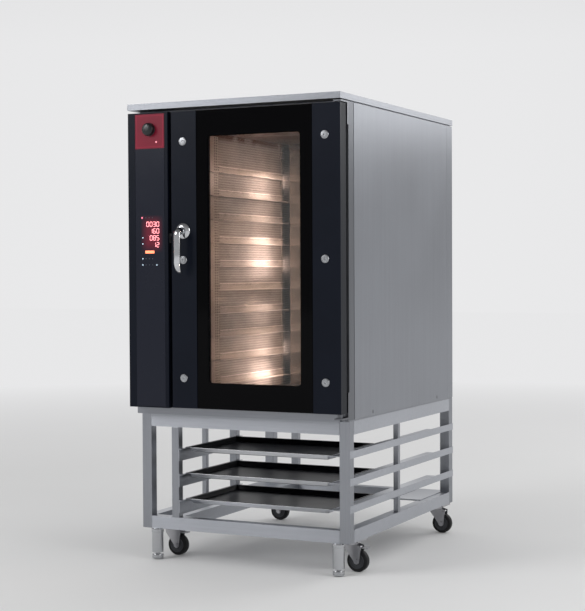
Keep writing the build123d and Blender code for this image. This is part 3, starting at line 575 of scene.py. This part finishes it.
class OVEN_OT_casing(bpy.types.Operator):
    """Finishes of the sheet casing, and the screws at its rear."""

    bl_idname = "oven.casing"
    bl_label = "Casing"

    def execute(self, context):
        steel = tuple(settings().steel)
        side = brushed_steel("brushed_side", steel, "z", 0.34)
        # painted shade: the cover uses a slightly darker copy of the same steel, to tone down its
        # lit front edge
        cover = brushed_steel("brushed_cover", shaded(steel, 0.9), "x", 0.36, drag=0.0)
        rear = brushed_steel("brushed_rear", shaded(steel, 0.85), "x", 0.4)
        # painted shade: the hinge column uses a darker copy of the same steel, for its less lit
        # front-facing face
        column = brushed_steel("brushed_column", shaded(steel, 0.6), "z", 0.34)
        give(side, "left_side_panel", "right_side_panel", "rear_corner_posts")
        give(column, "hinge_column")
        give(cover, "top_cover", "plinth_strip")
        give(rear, "rear_panel", "base_pan", "compartment_wall")
        give(polished("steam_pipe", (0.62, 0.62, 0.64), 0.2), "steam_outlet")
        give(moulded("gland_plastic", (0.02, 0.02, 0.022), 0.5), "cable_gland")
        give(moulded("mineral_wool", (0.5, 0.42, 0.22), 0.95), "insulation")
        soften(
            0.8, "top_cover", "plinth_strip", "right_side_panel", "left_side_panel",
            "hinge_column",
        )
        self.screws()
        return {"FINISHED"}

    def screws(self):
        """Pan-head screws on the corner posts and at both ends of the recessed rear panel."""
        low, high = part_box("rear_corner_posts")
        from_side, from_end, recess = 21, 24, 33
        left, right = low.x / MM + from_side, high.x / MM - from_side
        bottom, top = low.z / MM + from_end, high.z / MM - from_end
        face = high.y / MM
        screw = turned("screw", (0, 0, 0), (0, 1, 0), (
            (-0.4, 4.4), (0.6, 4.4), (1.5, 3.7), (2.0, 2.6), (2.1, 1.9), (1.0, 1.7), (1.0, 0.2),
        ), 18, 35.0)
        rise = (top - bottom) / 4
        places = [(x, face, bottom + rise * step) for x in (left, right) for step in range(5)]
        across = [left + (right - left) * share for share in (0.2, 0.5, 0.8)]
        places += [(x, face - recess, z) for x in across for z in (bottom, top)]
        screws = repeated("rear_screws", screw, places)
        fit(screws, "oven", "plated_steel", polished("screw_steel", (0.5, 0.5, 0.52), 0.22))


class OVEN_OT_chamber(bpy.types.Operator):
    """Finishes and light of the baking chamber."""

    bl_idname = "oven.chamber"
    bl_label = "Baking chamber"

    def execute(self, context):
        give(self.lining(), "chamber_liner")
        give(self.rack_steel(), "face_frame", "left_tray_rack", "right_tray_rack")
        give(polished("baffle_steel", (0.44, 0.38, 0.32), 0.14), "fan_baffle")
        for node in ("lower_fan_wheel", "upper_fan_wheel"):
            give(brushed_steel(node, (0.42, 0.40, 0.38), "z", 0.4), node)
        give(enamel("motor_paint", (0.03, 0.035, 0.045), 0.5), "fan_motors")
        give(moulded("heater_sheath", (0.10, 0.07, 0.05), 0.6), "heating_coils")
        give(moulded("seal_rubber", (0.014, 0.014, 0.015), 0.6), "mouth_gasket")
        give(glowing("chamber_lamp", (1.0, 0.72, 0.44), 1.3), "chamber_lamps")
        give(enamel("power_unit", (0.08, 0.085, 0.09), 0.5), "power_unit")
        self.light()
        return {"FINISHED"}

    def lining(self):
        """Bright lining with rows of fine slots in painted shade, some soot and a heat-coloured
        ceiling.
        """
        slot_pitch, ceiling = 0.0095, 1.578
        steel = Finish("chamber_lining", (0.42, 0.375, 0.35), 0.3, metallic=1.0)
        z = steel.axes()[2]
        rows = wave(z, slot_pitch).under(0.45, 0.25)
        stain = steel.noise(4.0, 5.0)
        soot = steel.noise(14.0, 5.0).over(0.6, 0.3)
        steel.set("Roughness", 0.20 + stain * 0.28)
        # painted shade: the slot rows are painted darker; the bump gives their recess
        plain = steel.tint(rows * -0.38 + stain * 0.7 + 0.5 - soot * 0.2, 0.35, 1.15)
        heat = z.over(ceiling, 0.02) * steel.noise(7.0, 3.0).over(0.42, 0.12)
        steel.set("Base Color", steel.blend(heat, plain, (0.11, 0.045, 0.028, 1)))
        steel.bump(rows * -1.0, 0.6, 0.0012)
        return steel.material

    def rack_steel(self):
        """Tray racks: punched holes with painted shade, crust, painted highlights on rail edges."""
        upright_middle, upright_half, rail_start = 0.068, 0.022, 0.082
        column_pitch, hole_pitch = 0.014, 0.010
        first_level, level_pitch = 0.6475, 0.089
        steel = Finish("rack_steel", (0.66, 0.60, 0.56), 0.24, metallic=1.0)
        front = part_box("left_tray_rack")[0].y
        _, y, z = steel.axes()
        smudge = steel.noise(9.0, 5.0)
        off = y - (front + upright_middle)
        columns = wave(off, column_pitch).under(0.5, 0.2)
        columns = columns * off.absolute().under(upright_half, 0.002)
        # painted shade: the punched holes are painted darker, as the shade seen through them; the
        # bump gives their recess
        holes = columns * wave(z, hole_pitch).under(0.5, 0.2)
        height = ((z - first_level) / level_pitch).math("FRACT") * level_pitch
        rail = y.over(front + rail_start, 0.001)
        lip = height.over(0.0240, 0.001) * height.under(0.0268, 0.001)
        # painted highlights: lighter lines along each rail's lower edge and along its top lip
        edge_highlight = height.under(0.0022, 0.001) + lip
        crust = steel.noise(70.0, 3.0).over(0.55, 0.4) * height.over(0.018, 0.006)
        # tone: smudges, plus the painted edge highlights, minus crust and the painted shade in the
        # holes
        shade = smudge * 0.4 + 0.35 + edge_highlight * rail * 0.6 - crust * rail * 0.35 - holes
        steel.set("Roughness", 0.24 + smudge * 0.16)
        steel.set("Base Color", steel.tint(shade, 0.22, 1.25))
        steel.bump(holes * -1.0, 0.5, 0.0006)
        return steel.material

    def light(self):
        """Warm light from the lamps on the right wall, with its sheen on the other walls."""
        power = settings().chamber_glow
        tone = (1.0, 0.77, 0.66)
        lamp_low, lamp_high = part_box("chamber_lamps")
        wall_low, wall_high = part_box("chamber_liner")
        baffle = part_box("fan_baffle")[0]
        middle_x = (wall_low.x + wall_high.x) / 2

        def column(name, shares, place, target, size):
            """Lights above one another, each at a share of the height and of the power."""
            for up, strength in shares:
                z = wall_low.z + (wall_high.z - wall_low.z) * up
                soft_light(name, (*place, z), (*target, z), size, power * strength, tone)

        column(
            "chamber_light", ((0.12, 1), (0.38, 1), (0.64, 1), (0.9, 1)),
            (lamp_low.x - 0.02, (lamp_low.y + lamp_high.y) / 2 + 0.02),
            (middle_x - 0.4, wall_high.y - 0.3), 0.06,
        )
        column(
            "chamber_sheen",
            ((0.05, 0.24), (0.17, 0.12), (0.30, 0.072), (0.50, 0.216), (0.57, 0.192),
             (0.70, 0.072), (0.82, 0.168)),
            (baffle.x + 0.06, baffle.y - 0.075), (wall_low.x, baffle.y - 0.115), 0.10,
        )
        top = wall_high.z
        place, target = (0.10, 0.10, top - 0.14), (0.0, 0.0, top)
        soft_light("ceiling_sheen", place, target, 0.08, power * 0.15, tone)
        column(
            "fan_space", ((0.15, 0.05), (0.5, 0.05), (0.85, 0.05)),
            (baffle.x + 0.03, baffle.y + 0.06), (wall_low.x, baffle.y + 0.05), 0.05,
        )


class OVEN_OT_controls(bpy.types.Operator):
    """Finishes of the control column, with its knob and lamp."""

    bl_idname = "oven.controls"
    bl_label = "Control column"

    def execute(self, context):
        give(enamel("control_enamel", tuple(settings().enamel), 0.35), "control_frame")
        give(self.fascia(), "control_fascia")
        give(self.red_block(), "knob_panel")
        give(moulded("circuit_board", (0.01, 0.06, 0.03), 0.5), "control_electronics")
        soften(0.8, "control_frame")
        self.knob()
        self.lamp()
        return {"FINISHED"}

    def fascia(self):
        """Dark blue-grey glass with a painted red glow round the figures behind it."""
        middle_x, middle_z = -0.334, 1.2135
        half_width, half_height = 0.033, 0.052
        glass = Finish("control_fascia", (0.010, 0.012, 0.022), 0.22, Specular_IOR_Level=0.2)
        x, _, z = glass.axes()
        rows = (z - middle_z).absolute().under(half_height, 0.035)
        columns = (x - middle_x).absolute().under(half_width, 0.03)
        # painted glow: the glass itself emits red over the figures' area, standing in for their
        # spilled light
        glow = glass.blend(rows * columns * 0.8, (0, 0, 0, 1), (0.16, 0.006, 0.014, 1))
        glass.set("Emission Color", glow)
        glass.set("Emission Strength", 1.0)
        glass.set("Roughness", 0.18 + glass.noise(7.0, 4.0) * 0.14)
        return glass.material

    def red_block(self):
        """Crimson satin lacquer with a lighter line along its edge."""
        paint = Finish("red_block", tuple(settings().panel_red), 0.34, Specular_IOR_Level=0.2)
        low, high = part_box("knob_panel")
        x, _, z = paint.axes()
        off_x = (x - (low.x + high.x) / 2).absolute() - (high.x - low.x) / 2
        off_z = (z - (low.z + high.z) / 2).absolute() - (high.z - low.z) / 2
        past_edge = off_x.math("MAXIMUM", off_z)
        line = past_edge.over(-0.0075, 0.001) * past_edge.under(-0.0050, 0.001)
        cloud = paint.noise(9.0, 4.0)
        paint.set("Base Color", paint.tint(cloud * 0.5 + line * 0.6, 0.8, 1.5))
        paint.set("Roughness", 0.28 + cloud * 0.14)
        paint.bump(paint.noise(800.0, 2.0), 0.08, 0.0001)
        return paint.material

    def knob(self):
        """Glossy dome with a grooved skirt, grip flutes and a printed mark."""
        low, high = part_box("control_knob")
        middle = (low + high) / 2
        knob = turned(
            "turning_knob", (middle.x, high.y, middle.z), (0, -1, 0),
            ((0, 3), (10.3, 3), (10.3, 22), (10.7, 23.5), (11.6, 24), (13.4, 24), (14.2, 23.2),
             (14.4, 22.4), (15.0, 22.4), (15.4, 23.4), (22, 23.6), (25.6, 22.9), (28.6, 20.9),
             (30.7, 17.4), (31.9, 13.0), (32.5, 7.5), (32.7, 1.5)), 72, 28.0,
        )
        grip = 0.0182
        self.flutes(knob, middle, high.y - grip)
        black = Finish("knob_gloss", (0.005, 0.006, 0.008), 0.3, Specular_IOR_Level=0.5)
        black.set("Roughness", 0.24 + black.noise(60.0, 4.0) * 0.12)
        black.bump(black.noise(900.0, 2.0), 0.05, 0.0001)
        fit(knob, "knob", "black_plastic", black.material, "control_knob")
        mark = slab("knob_mark", (-342.6, -558.3, 1604), (-341.4, -554.6, 1611), 0.3)
        fit(mark, "knob", "black_plastic", moulded("knob_mark", (0.5, 0.5, 0.52), 0.4))

    def flutes(self, knob, middle, grip_y):
        """Presses every third face of the dome's side ring inwards."""
        pitch, half = 15.0, 2.6

        def in_flute(face):
            reach = face.center - Vector((middle.x, face.center.y, middle.z))
            turn = math.degrees(math.atan2(reach.z, reach.x)) % pitch
            on_side = abs(face.center.y - grip_y) < 0.0025 and reach.length > 0.020
            return on_side and abs(turn - pitch / 2) < half

        pick_faces(knob, in_flute)
        bpy.ops.transform.resize(value=(0.965, 1, 0.965), center_override=middle)
        bpy.ops.object.mode_set(mode="OBJECT")

    def lamp(self):
        """Small domed lamp below the knob."""
        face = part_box("knob_panel")[0].y
        lamp = turned(
            "indicator_lamp", (-0.3135, face + 0.0004, 1.548), (0, -1, 0),
            ((0, 3.4), (0.6, 3.3), (1.2, 2.7), (1.6, 1.7), (1.8, 0.6)), 24, 60.0,
        )
        fit(lamp, "oven", "clear_glass", glowing("lamp_pink", (0.9, 0.35, 0.42), 0.7))


class OVEN_OT_display(bpy.types.Operator):
    """Lit figures, bar and marks on the fascia."""

    bl_idname = "oven.display"
    bl_label = "Display"

    def execute(self, context):
        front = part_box("control_fascia")[0].y / MM
        rows = (("0030", 1249.0), ("160", 1224.0), ("085", 1199.0), ("12", 1174.0))
        digits = joined("display_figures", [self.figure(text, z, front) for text, z in rows])
        fit(digits, "oven", "dark_glass", glowing("figure_red", (1.0, 0.30, 0.33), 2.2))
        bar = slab("display_bar", (-363, front - 0.35, 1142.5), (-324.5, front + 0.2, 1152.5), 0.16)
        fit(bar, "oven", "dark_glass", glowing("bar_orange", (1.0, 0.25, 0.12), 1.5))
        alarm = self.dot(-376, 1273, front, 3.6)
        alarm.name = alarm.data.name = "display_alarm"
        fit(alarm, "oven", "dark_glass", glowing("mark_pink", (0.8, 0.16, 0.24), 0.9))
        places = ((-373.5, 1200), (-373.5, 1177.5), (-374, 1123), (-374, 1100.5), (-314, 1100))
        marks = joined("display_marks", [self.dot(x, z, front, 2.3) for x, z in places])
        fit(marks, "oven", "dark_glass", glowing("mark_white", (0.55, 0.72, 0.85), 0.7))
        places = [(x, z) for z in (1273, 1123, 1100.5) for x in (-360, -346, -332)]
        printed = joined("display_print", [self.dot(x, z, front, 1.5) for x, z in places])
        fit(printed, "oven", "dark_glass", moulded("printed_grey", (0.10, 0.11, 0.13), 0.4))
        return {"FINISHED"}

    def dot(self, x, z, front, radius):
        """A small domed mark."""
        profile = ((0, radius), (0.25, radius), (0.4, radius * 0.8), (0.45, radius * 0.3))
        foot = (x * MM, (front + 0.15) * MM, z * MM)
        return turned("dot", foot, (0, -1, 0), profile, 16, 60.0)

    def stroke(self, length, width, front):
        """One bar of a figure, lying across, with pointed ends."""
        half = length / 2 - width / 2
        low, high = (-half, front - 0.3, -width / 2), (half, front + 0.2, width / 2)
        piece = slab("stroke", low, high, 0.02)
        end_area = width * 0.2 * MM * MM
        for side in (-1, 1):
            pick_faces(piece, lambda face: face.normal.x * side > 0.9 and face.area > end_area)
            bpy.ops.mesh.extrude_region_move(
                TRANSFORM_OT_translate={"value": (side * width / 2 * MM, 0, 0)})
            tip = (side * (half + width / 2) * MM, front * MM, 0)
            bpy.ops.transform.resize(value=(1, 1, 0.1), center_override=tip)
            bpy.ops.object.mode_set(mode="OBJECT")
        return settle(piece)

    def figure(self, text, z, front):
        """A row of seven-bar figures that ends at the right."""
        right, width, height, pitch = -304.5, 9.6, 16.6, 14.2
        gap = 0.8
        lying = self.stroke(width - gap, 2.0, front)
        standing = copied(lying, "standing")
        share = (height / 2 - gap) / (width - gap)
        standing.data.transform(Matrix.Scale(share, 4, (1, 0, 0)))
        standing.data.transform(Matrix.Rotation(math.radians(90), 4, "Y"))
        places = {
            "a": (0, height / 2), "g": (0, 0), "d": (0, -height / 2),
            "b": (width / 2, height / 4), "c": (width / 2, -height / 4),
            "f": (-width / 2, height / 4), "e": (-width / 2, -height / 4),
        }
        bars = []
        for index, sign in enumerate(reversed(text)):
            middle = right - width / 2 - index * pitch
            for bar in BARS[sign]:
                across, up = places[bar]
                shape = lying if bar in "agd" else standing
                bars.append(copied(shape, "bar", (middle + across, 0, z + up)))
        bpy.data.objects.remove(lying)
        bpy.data.objects.remove(standing)
        return joined("figures", bars)


class OVEN_OT_door(bpy.types.Operator):
    """Finishes of the door: glass with a printed border, plates, frame and caps."""

    bl_idname = "oven.door"
    bl_label = "Door"

    def execute(self, context):
        give(enamel("door_enamel", tuple(settings().enamel), 0.32), "door_side_plates")
        give(enamel("door_frame_grey", (0.010, 0.012, 0.016), 0.4), "door_frame")
        give(self.printed_glass(), "door_front_glass")
        inner = Finish("inner_glass", (0.9, 0.93, 0.92), 0.03, Specular_IOR_Level=0.3)
        inner.set("Alpha", 0.05)
        inner.set("Roughness", 0.02 + inner.noise(8.0, 4.0) * 0.05)
        give(inner.material, "door_inner_glass")
        plated = polished("plated_steel", (0.42, 0.42, 0.44), 0.25)
        give(plated, "latch_tongue", "latch_keeper")
        give(polished("hinge_steel", (0.16, 0.165, 0.18), 0.3), "hinge_brackets")
        soften(0.8, "hinge_brackets")
        self.caps()
        return {"FINISHED"}

    def printed_glass(self):
        """Black glass with a clear window that has rounded corners."""
        side, end, radius = 47 * MM, 94 * MM, 12 * MM
        low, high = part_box("door_front_glass")
        glass = Finish(
            "printed_glass", (0.0012, 0.0012, 0.0016), 0.04, Specular_IOR_Level=0.06)
        x, _, z = glass.axes()
        half_x = (high.x - low.x) / 2 - side - radius
        half_z = (high.z - low.z) / 2 - end - radius
        off_x = ((x - (low.x + high.x) / 2).absolute() - half_x).math("MAXIMUM", 0.0)
        off_z = ((z - (low.z + high.z) / 2).absolute() - half_z).math("MAXIMUM", 0.0)
        distance = (off_x * off_x + off_z * off_z).math("SQRT")
        printed = distance.over(radius, 0.0006)
        glass.set("Alpha", 0.12 + printed * 0.88)
        glass.set("Roughness", 0.03 + glass.noise(8.0, 4.0) * 0.05)
        return glass.material

    def caps(self):
        """Six round caps, each with a ring and a socket in its face."""
        low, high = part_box("door_caps")
        radius = 15
        cap = turned(
            "door_cap", (low.x + radius * MM, high.y, low.z + radius * MM), (0, -1, 0),
            ((0, 14.0), (5.6, 14.0), (5.6, 14.7), (5.8, 15), (6.6, 15), (7.6, 14.4), (8.3, 13.4),
             (8.4, 12.4), (8.1, 11.9), (8.1, 11.3), (8.4, 10.9), (8.5, 10), (8.5, 4.2),
             (8.2, 3.8), (6.4, 3.6), (6.2, 0.8)), 40, 28.0,
        )
        across = (high.x - low.x) / MM - 2 * radius
        rise = (high.z - low.z) / MM - 2 * radius
        moves = [(x, 0, z) for x in (0, across) for z in (0, rise / 2, rise)]
        caps = repeated("door_cap_discs", cap, moves)
        satin = Finish("cap_satin", (0.40, 0.41, 0.43), 0.24, metallic=1.0)
        satin.set("Roughness", 0.2 + satin.noise(90.0, 4.0) * 0.16)
        satin.set("Base Color", satin.tint(satin.noise(30.0, 5.0), 0.85, 1.1))
        fit(caps, "door", "bright_steel", satin.material, "door_caps")


class OVEN_OT_handle(bpy.types.Operator):
    """Chromed boss and hanging lever."""

    bl_idname = "oven.handle"
    bl_label = "Handle"

    def execute(self, context):
        chrome = polished("chrome", (0.62, 0.63, 0.65), 0.06)
        low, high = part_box("handle_escutcheon")
        middle = (low + high) / 2
        boss = turned(
            "handle_boss", (middle.x, high.y, middle.z), (0, -1, 0),
            ((0, 28.6), (0.6, 29.5), (1.8, 29.5), (3.2, 28.9), (5.2, 27.4), (7.4, 25), (9.2, 22),
             (10.6, 18.6), (11.4, 16.4), (11.4, 15.4), (10.2, 15.2), (10.2, 1)), 64, 50.0,
        )
        fit(boss, "door", "bright_steel", chrome, "handle_escutcheon")
        stations = self.stations(low.y / MM, middle.z / MM)
        lever = drawn_bar("handle_bar", middle.x / MM, stations)
        fit(lever, "handle", "bright_steel", chrome, "handle_lever")
        return {"FINISHED"}

    def stations(self, boss, axis):
        """Sections of the lever: out of the boss, down, and back towards the door."""
        lever_low, lever_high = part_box("handle_lever")
        front, rear = lever_low.y / MM, lever_high.y / MM
        line = front + 7
        bend = 17.0
        found = [
            (rear, axis, 0, 10, 10), (boss + 1.8, axis, 0, 10, 10), (boss + 1.7, axis, 0, 27, 27),
            (boss - 3, axis, 0, 28, 28), (line + bend, axis, 0, 27.5, 24),
        ]
        for share in (0.2, 0.4, 0.6, 0.8, 1.0):
            turn = math.radians(90 * share)
            y = line + bend * (1 - math.sin(turn))
            z = axis - bend * (1 - math.cos(turn))
            found.append((y, z, 90 * share, 27.5 - 1.5 * share, 24 - 10 * share))
        toe = 38.0
        toe_z = lever_low.z / MM + 33
        for share in (0.33, 0.66, 1.0):
            z = axis - bend + (toe_z - axis + bend) * share
            found.append((line, z, 90, 26 - share, 14 - share))
        for turn in (12, 24, 36, 48, 58):
            angle = math.radians(turn)
            y = line + toe * (1 - math.cos(angle))
            z = toe_z - toe * math.sin(angle)
            found.append((y, z, 90 + turn, 25 - turn / 9, 13 - turn / 18))
        for step, share in ((2.0, 0.93), (3.8, 0.75), (4.8, 0.45), (5.2, 0.1)):
            tip_y, tip_z = y + step * math.sin(angle), z - step * math.cos(angle)
            found.append((tip_y, tip_z, 90 + turn, 18.6 * share, 9.8 * share))
        return found


class OVEN_OT_stand(bpy.types.Operator):
    """Finishes of the stand and of the castors' plates, forks and brake levers."""

    bl_idname = "oven.stand"
    bl_label = "Stand"

    def execute(self, context):
        steel = tuple(settings().steel)
        # painted highlight: the rails use a lighter copy of the posts' steel, for the light they
        # catch
        across = brushed_steel("stand_across", shaded(steel, 1.3), "x", 0.34)
        give(brushed_steel("stand_upright", steel, "z", 0.32), "stand_posts")
        give(across, "stand_top_rails", "stand_bottom_rails", "stand_runners")
        soften(1.5, "stand_posts")
        forks = [f"{castor}_fork" for castor in CASTORS]
        brakes = ["front_left_brake", "front_right_brake"]
        zinc = polished("castor_zinc", (0.42, 0.42, 0.44), 0.26)
        give(zinc, "castor_plates", *forks, *brakes)
        soften(0.6, *forks)
        soften(0.8, *brakes)
        return {"FINISHED"}


class OVEN_OT_trays(bpy.types.Operator):
    """Three baking trays, coated dark inside and bright outside."""

    bl_idname = "oven.trays"
    bl_label = "Baking trays"

    def execute(self, context):
        low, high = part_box("tray_1")
        coat = enamel("tray_coating", (0.004, 0.004, 0.006), 0.34)
        sheet = brushed_steel("tray_sheet", (0.74, 0.75, 0.78), "x", 0.34)
        first = self.pan(low, high)
        self.thicken(first, coat, sheet)
        for index in (1, 2, 3):
            lift = (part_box(f"tray_{index}")[0].z - low.z) / MM
            tray = copied(first, f"baking_tray_{index}", (0, 0, lift))
            fit(tray, f"storage_tray_{index}", "tray_steel", None, f"tray_{index}")
        bpy.data.objects.remove(first)
        return {"FINISHED"}

    def pan(self, low, high):
        """A shallow pan with sloping walls, rounded at floor and rim, and a flat rim."""
        clear_selection()
        rim = 12.0
        middle = Vector(((low.x + high.x) / 2, (low.y + high.y) / 2, high.z))
        wide = mouth_wide = (high.x - low.x) / MM - 2 * rim
        deep = mouth_deep = (high.y - low.y) / MM - 2 * rim
        bpy.ops.mesh.primitive_plane_add(size=1.0, location=middle)
        piece = bpy.context.object
        edit(piece)
        bpy.ops.transform.resize(value=(wide * MM, deep * MM, 1), center_override=middle)
        bpy.ops.mesh.bevel(offset=7 * MM, segments=5, affect="VERTICES")
        bpy.ops.mesh.select_all(action="SELECT")
        steps = ((0.3, 0.8), (1.0, 0.9), (13.2, 5.0), (1.6, 1.1), (0.9, 1.7), (0.5, 2.5))
        for drop, inset in steps:
            bpy.ops.mesh.extrude_region_move(TRANSFORM_OT_translate={"value": (0, 0, -drop * MM)})
            share = ((wide - 2 * inset) / wide, (deep - 2 * inset) / deep, 1)
            bpy.ops.transform.resize(value=share, center_override=middle)
            wide, deep = wide - 2 * inset, deep - 2 * inset
        pick_faces(piece, lambda face: face.center.z > -SEAM and len(face.vertices) > 4)
        bpy.ops.mesh.delete(type="ONLY_FACE")
        bpy.ops.mesh.select_mode(type="EDGE")
        bpy.ops.mesh.select_non_manifold()
        bpy.ops.mesh.extrude_region_move(TRANSFORM_OT_translate={"value": (0, 0, 0)})
        share = ((mouth_wide + 2 * rim) / mouth_wide, (mouth_deep + 2 * rim) / mouth_deep, 1)
        bpy.ops.transform.resize(value=share, center_override=middle)
        bpy.ops.object.mode_set(mode="OBJECT")
        return settle(piece)

    def thicken(self, piece, coat, sheet):
        """Gives the pan its sheet: the coat above, bare sheet below, rounded edges."""
        piece.data.materials.append(coat)
        piece.data.materials.append(sheet)
        floor = min(piece.data.polygons, key=lambda face: face.center.z)
        if floor.normal.z < 0:
            edit(piece)
            bpy.ops.mesh.flip_normals()
            bpy.ops.object.mode_set(mode="OBJECT")
        wall = piece.modifiers.new("sheet", "SOLIDIFY")
        wall.thickness = 1.4 * MM
        wall.offset = -1.0
        wall.material_offset = 1
        wall.material_offset_rim = 1
        edge = piece.modifiers.new("edge", "BEVEL")
        edge.width = 0.4 * MM
        edge.segments = 2
        edge.limit_method = "ANGLE"
        edge.angle_limit = math.radians(60)
        for modifier in ("sheet", "edge"):
            bpy.ops.object.modifier_apply(modifier=modifier)
        bpy.ops.object.shade_smooth_by_angle(angle=math.radians(35))


class OVEN_OT_legs(bpy.types.Operator):
    """Two tubular legs with screw feet."""

    bl_idname = "oven.legs"
    bl_label = "Legs"

    def execute(self, context):
        chrome = polished("leg_chrome", (0.50, 0.51, 0.53), 0.14)
        low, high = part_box("leg_tubes")
        radius = 23
        base = Vector((low.x + radius * MM, (low.y + high.y) / 2, low.z))
        leg = turned("leg", base, (0, 0, 1), (
            (46, 8.6), (0, 8.6), (0, 20.2), (0.3, 20.8), (1, 21), (75.4, 21), (75.8, 22.4),
            (76.6, 23), (91.2, 23), (92, 22.4), (92, 1),
        ), 48, 40.0)
        across = (high.x - low.x) / MM - 2 * radius
        legs = repeated("leg_pair", leg, [(0, 0, 0), (across, 0, 0)])
        fit(legs, "oven", "bright_steel", chrome, "leg_tubes")
        for side in ("left", "right"):
            low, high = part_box(f"{side}_foot")
            middle = (low + high) / 2
            foot = turned(f"{side}_screw_foot", (middle.x, middle.y, low.z), (0, 0, 1), (
                (0, 18.4), (0.5, 20.2), (1.8, 21), (5.0, 21), (5.5, 20.3), (6.3, 20.3),
                (6.8, 21), (15.2, 21), (16.5, 20.2), (17, 18.4), (17, 8), (57.4, 8), (58, 7.3),
                (58, 1),
            ), 48, 40.0)
            fit(foot, f"{side}_levelling_foot", "bright_steel", chrome, f"{side}_foot")
        return {"FINISHED"}


class OVEN_OT_wheels(bpy.types.Operator):
    """Four castor wheels: a rubber tyre on a dished core."""

    bl_idname = "oven.wheels"
    bl_label = "Castor wheels"

    def execute(self, context):
        rubber = moulded("tyre_rubber", (0.008, 0.008, 0.009), 0.55)
        core = moulded("wheel_core", (0.045, 0.047, 0.052), 0.45)
        width, core_radius = 30, 28.5 * MM
        half = (
            (0, 6.4), (0, 10.4), (0.8, 11.4), (3.4, 12.4), (4.0, 23.4), (1.6, 25.6), (0.6, 26.8),
            (0.6, 28.2), (1.5, 29.2), (1.1, 33.5), (2.0, 36.7), (4.4, 39.2), (7.6, 40),
        )
        other_half = [(width - along, radius) for along, radius in reversed(half)]
        profile = (*half, *other_half, half[0])
        for side in CASTORS:
            low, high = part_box(f"{side}_wheel")
            middle = (low + high) / 2
            base = (middle.x, low.y, middle.z)
            wheel = turned(f"{side}_tyre", base, (0, 1, 0), profile, 64, 30.0, hollow=True)
            wheel.data.materials.append(rubber)
            fit(wheel, f"{side}_roller", "wheel_tyre", core, f"{side}_wheel")
            for face in wheel.data.polygons:
                reach = math.hypot(face.center.x - middle.x, face.center.z - middle.z)
                face.material_index = 0 if reach > core_radius else 1
        return {"FINISHED"}


class OVEN_PT_panel(bpy.types.Panel):
    """Sidebar list of the steps and settings."""

    bl_label = "Oven"
    bl_space_type = "VIEW_3D"
    bl_region_type = "UI"
    bl_category = "Oven"

    def draw(self, context):
        for name in ("steel", "enamel", "panel_red", "chamber_glow", "backdrop", "key_power"):
            self.layout.prop(context.scene.oven, name)
        for step in STEPS:
            self.layout.operator(step.bl_idname)


STEPS = (
    OVEN_OT_stage,
    OVEN_OT_casing,
    OVEN_OT_chamber,
    OVEN_OT_controls,
    OVEN_OT_display,
    OVEN_OT_door,
    OVEN_OT_handle,
    OVEN_OT_stand,
    OVEN_OT_trays,
    OVEN_OT_legs,
    OVEN_OT_wheels,
)
CLASSES = (OvenSettings, *STEPS, OVEN_PT_panel)


def register():
    for item in CLASSES:
        bpy.utils.register_class(item)
    bpy.types.Scene.oven = PointerProperty(type=OvenSettings)


def unregister():
    del bpy.types.Scene.oven
    for item in reversed(CLASSES):
        bpy.utils.unregister_class(item)


def main():
    register()
    for step in STEPS:
        group, name = step.bl_idname.split(".")
        getattr(getattr(bpy.ops, group), name)()


if __name__ == "__main__":
    main()
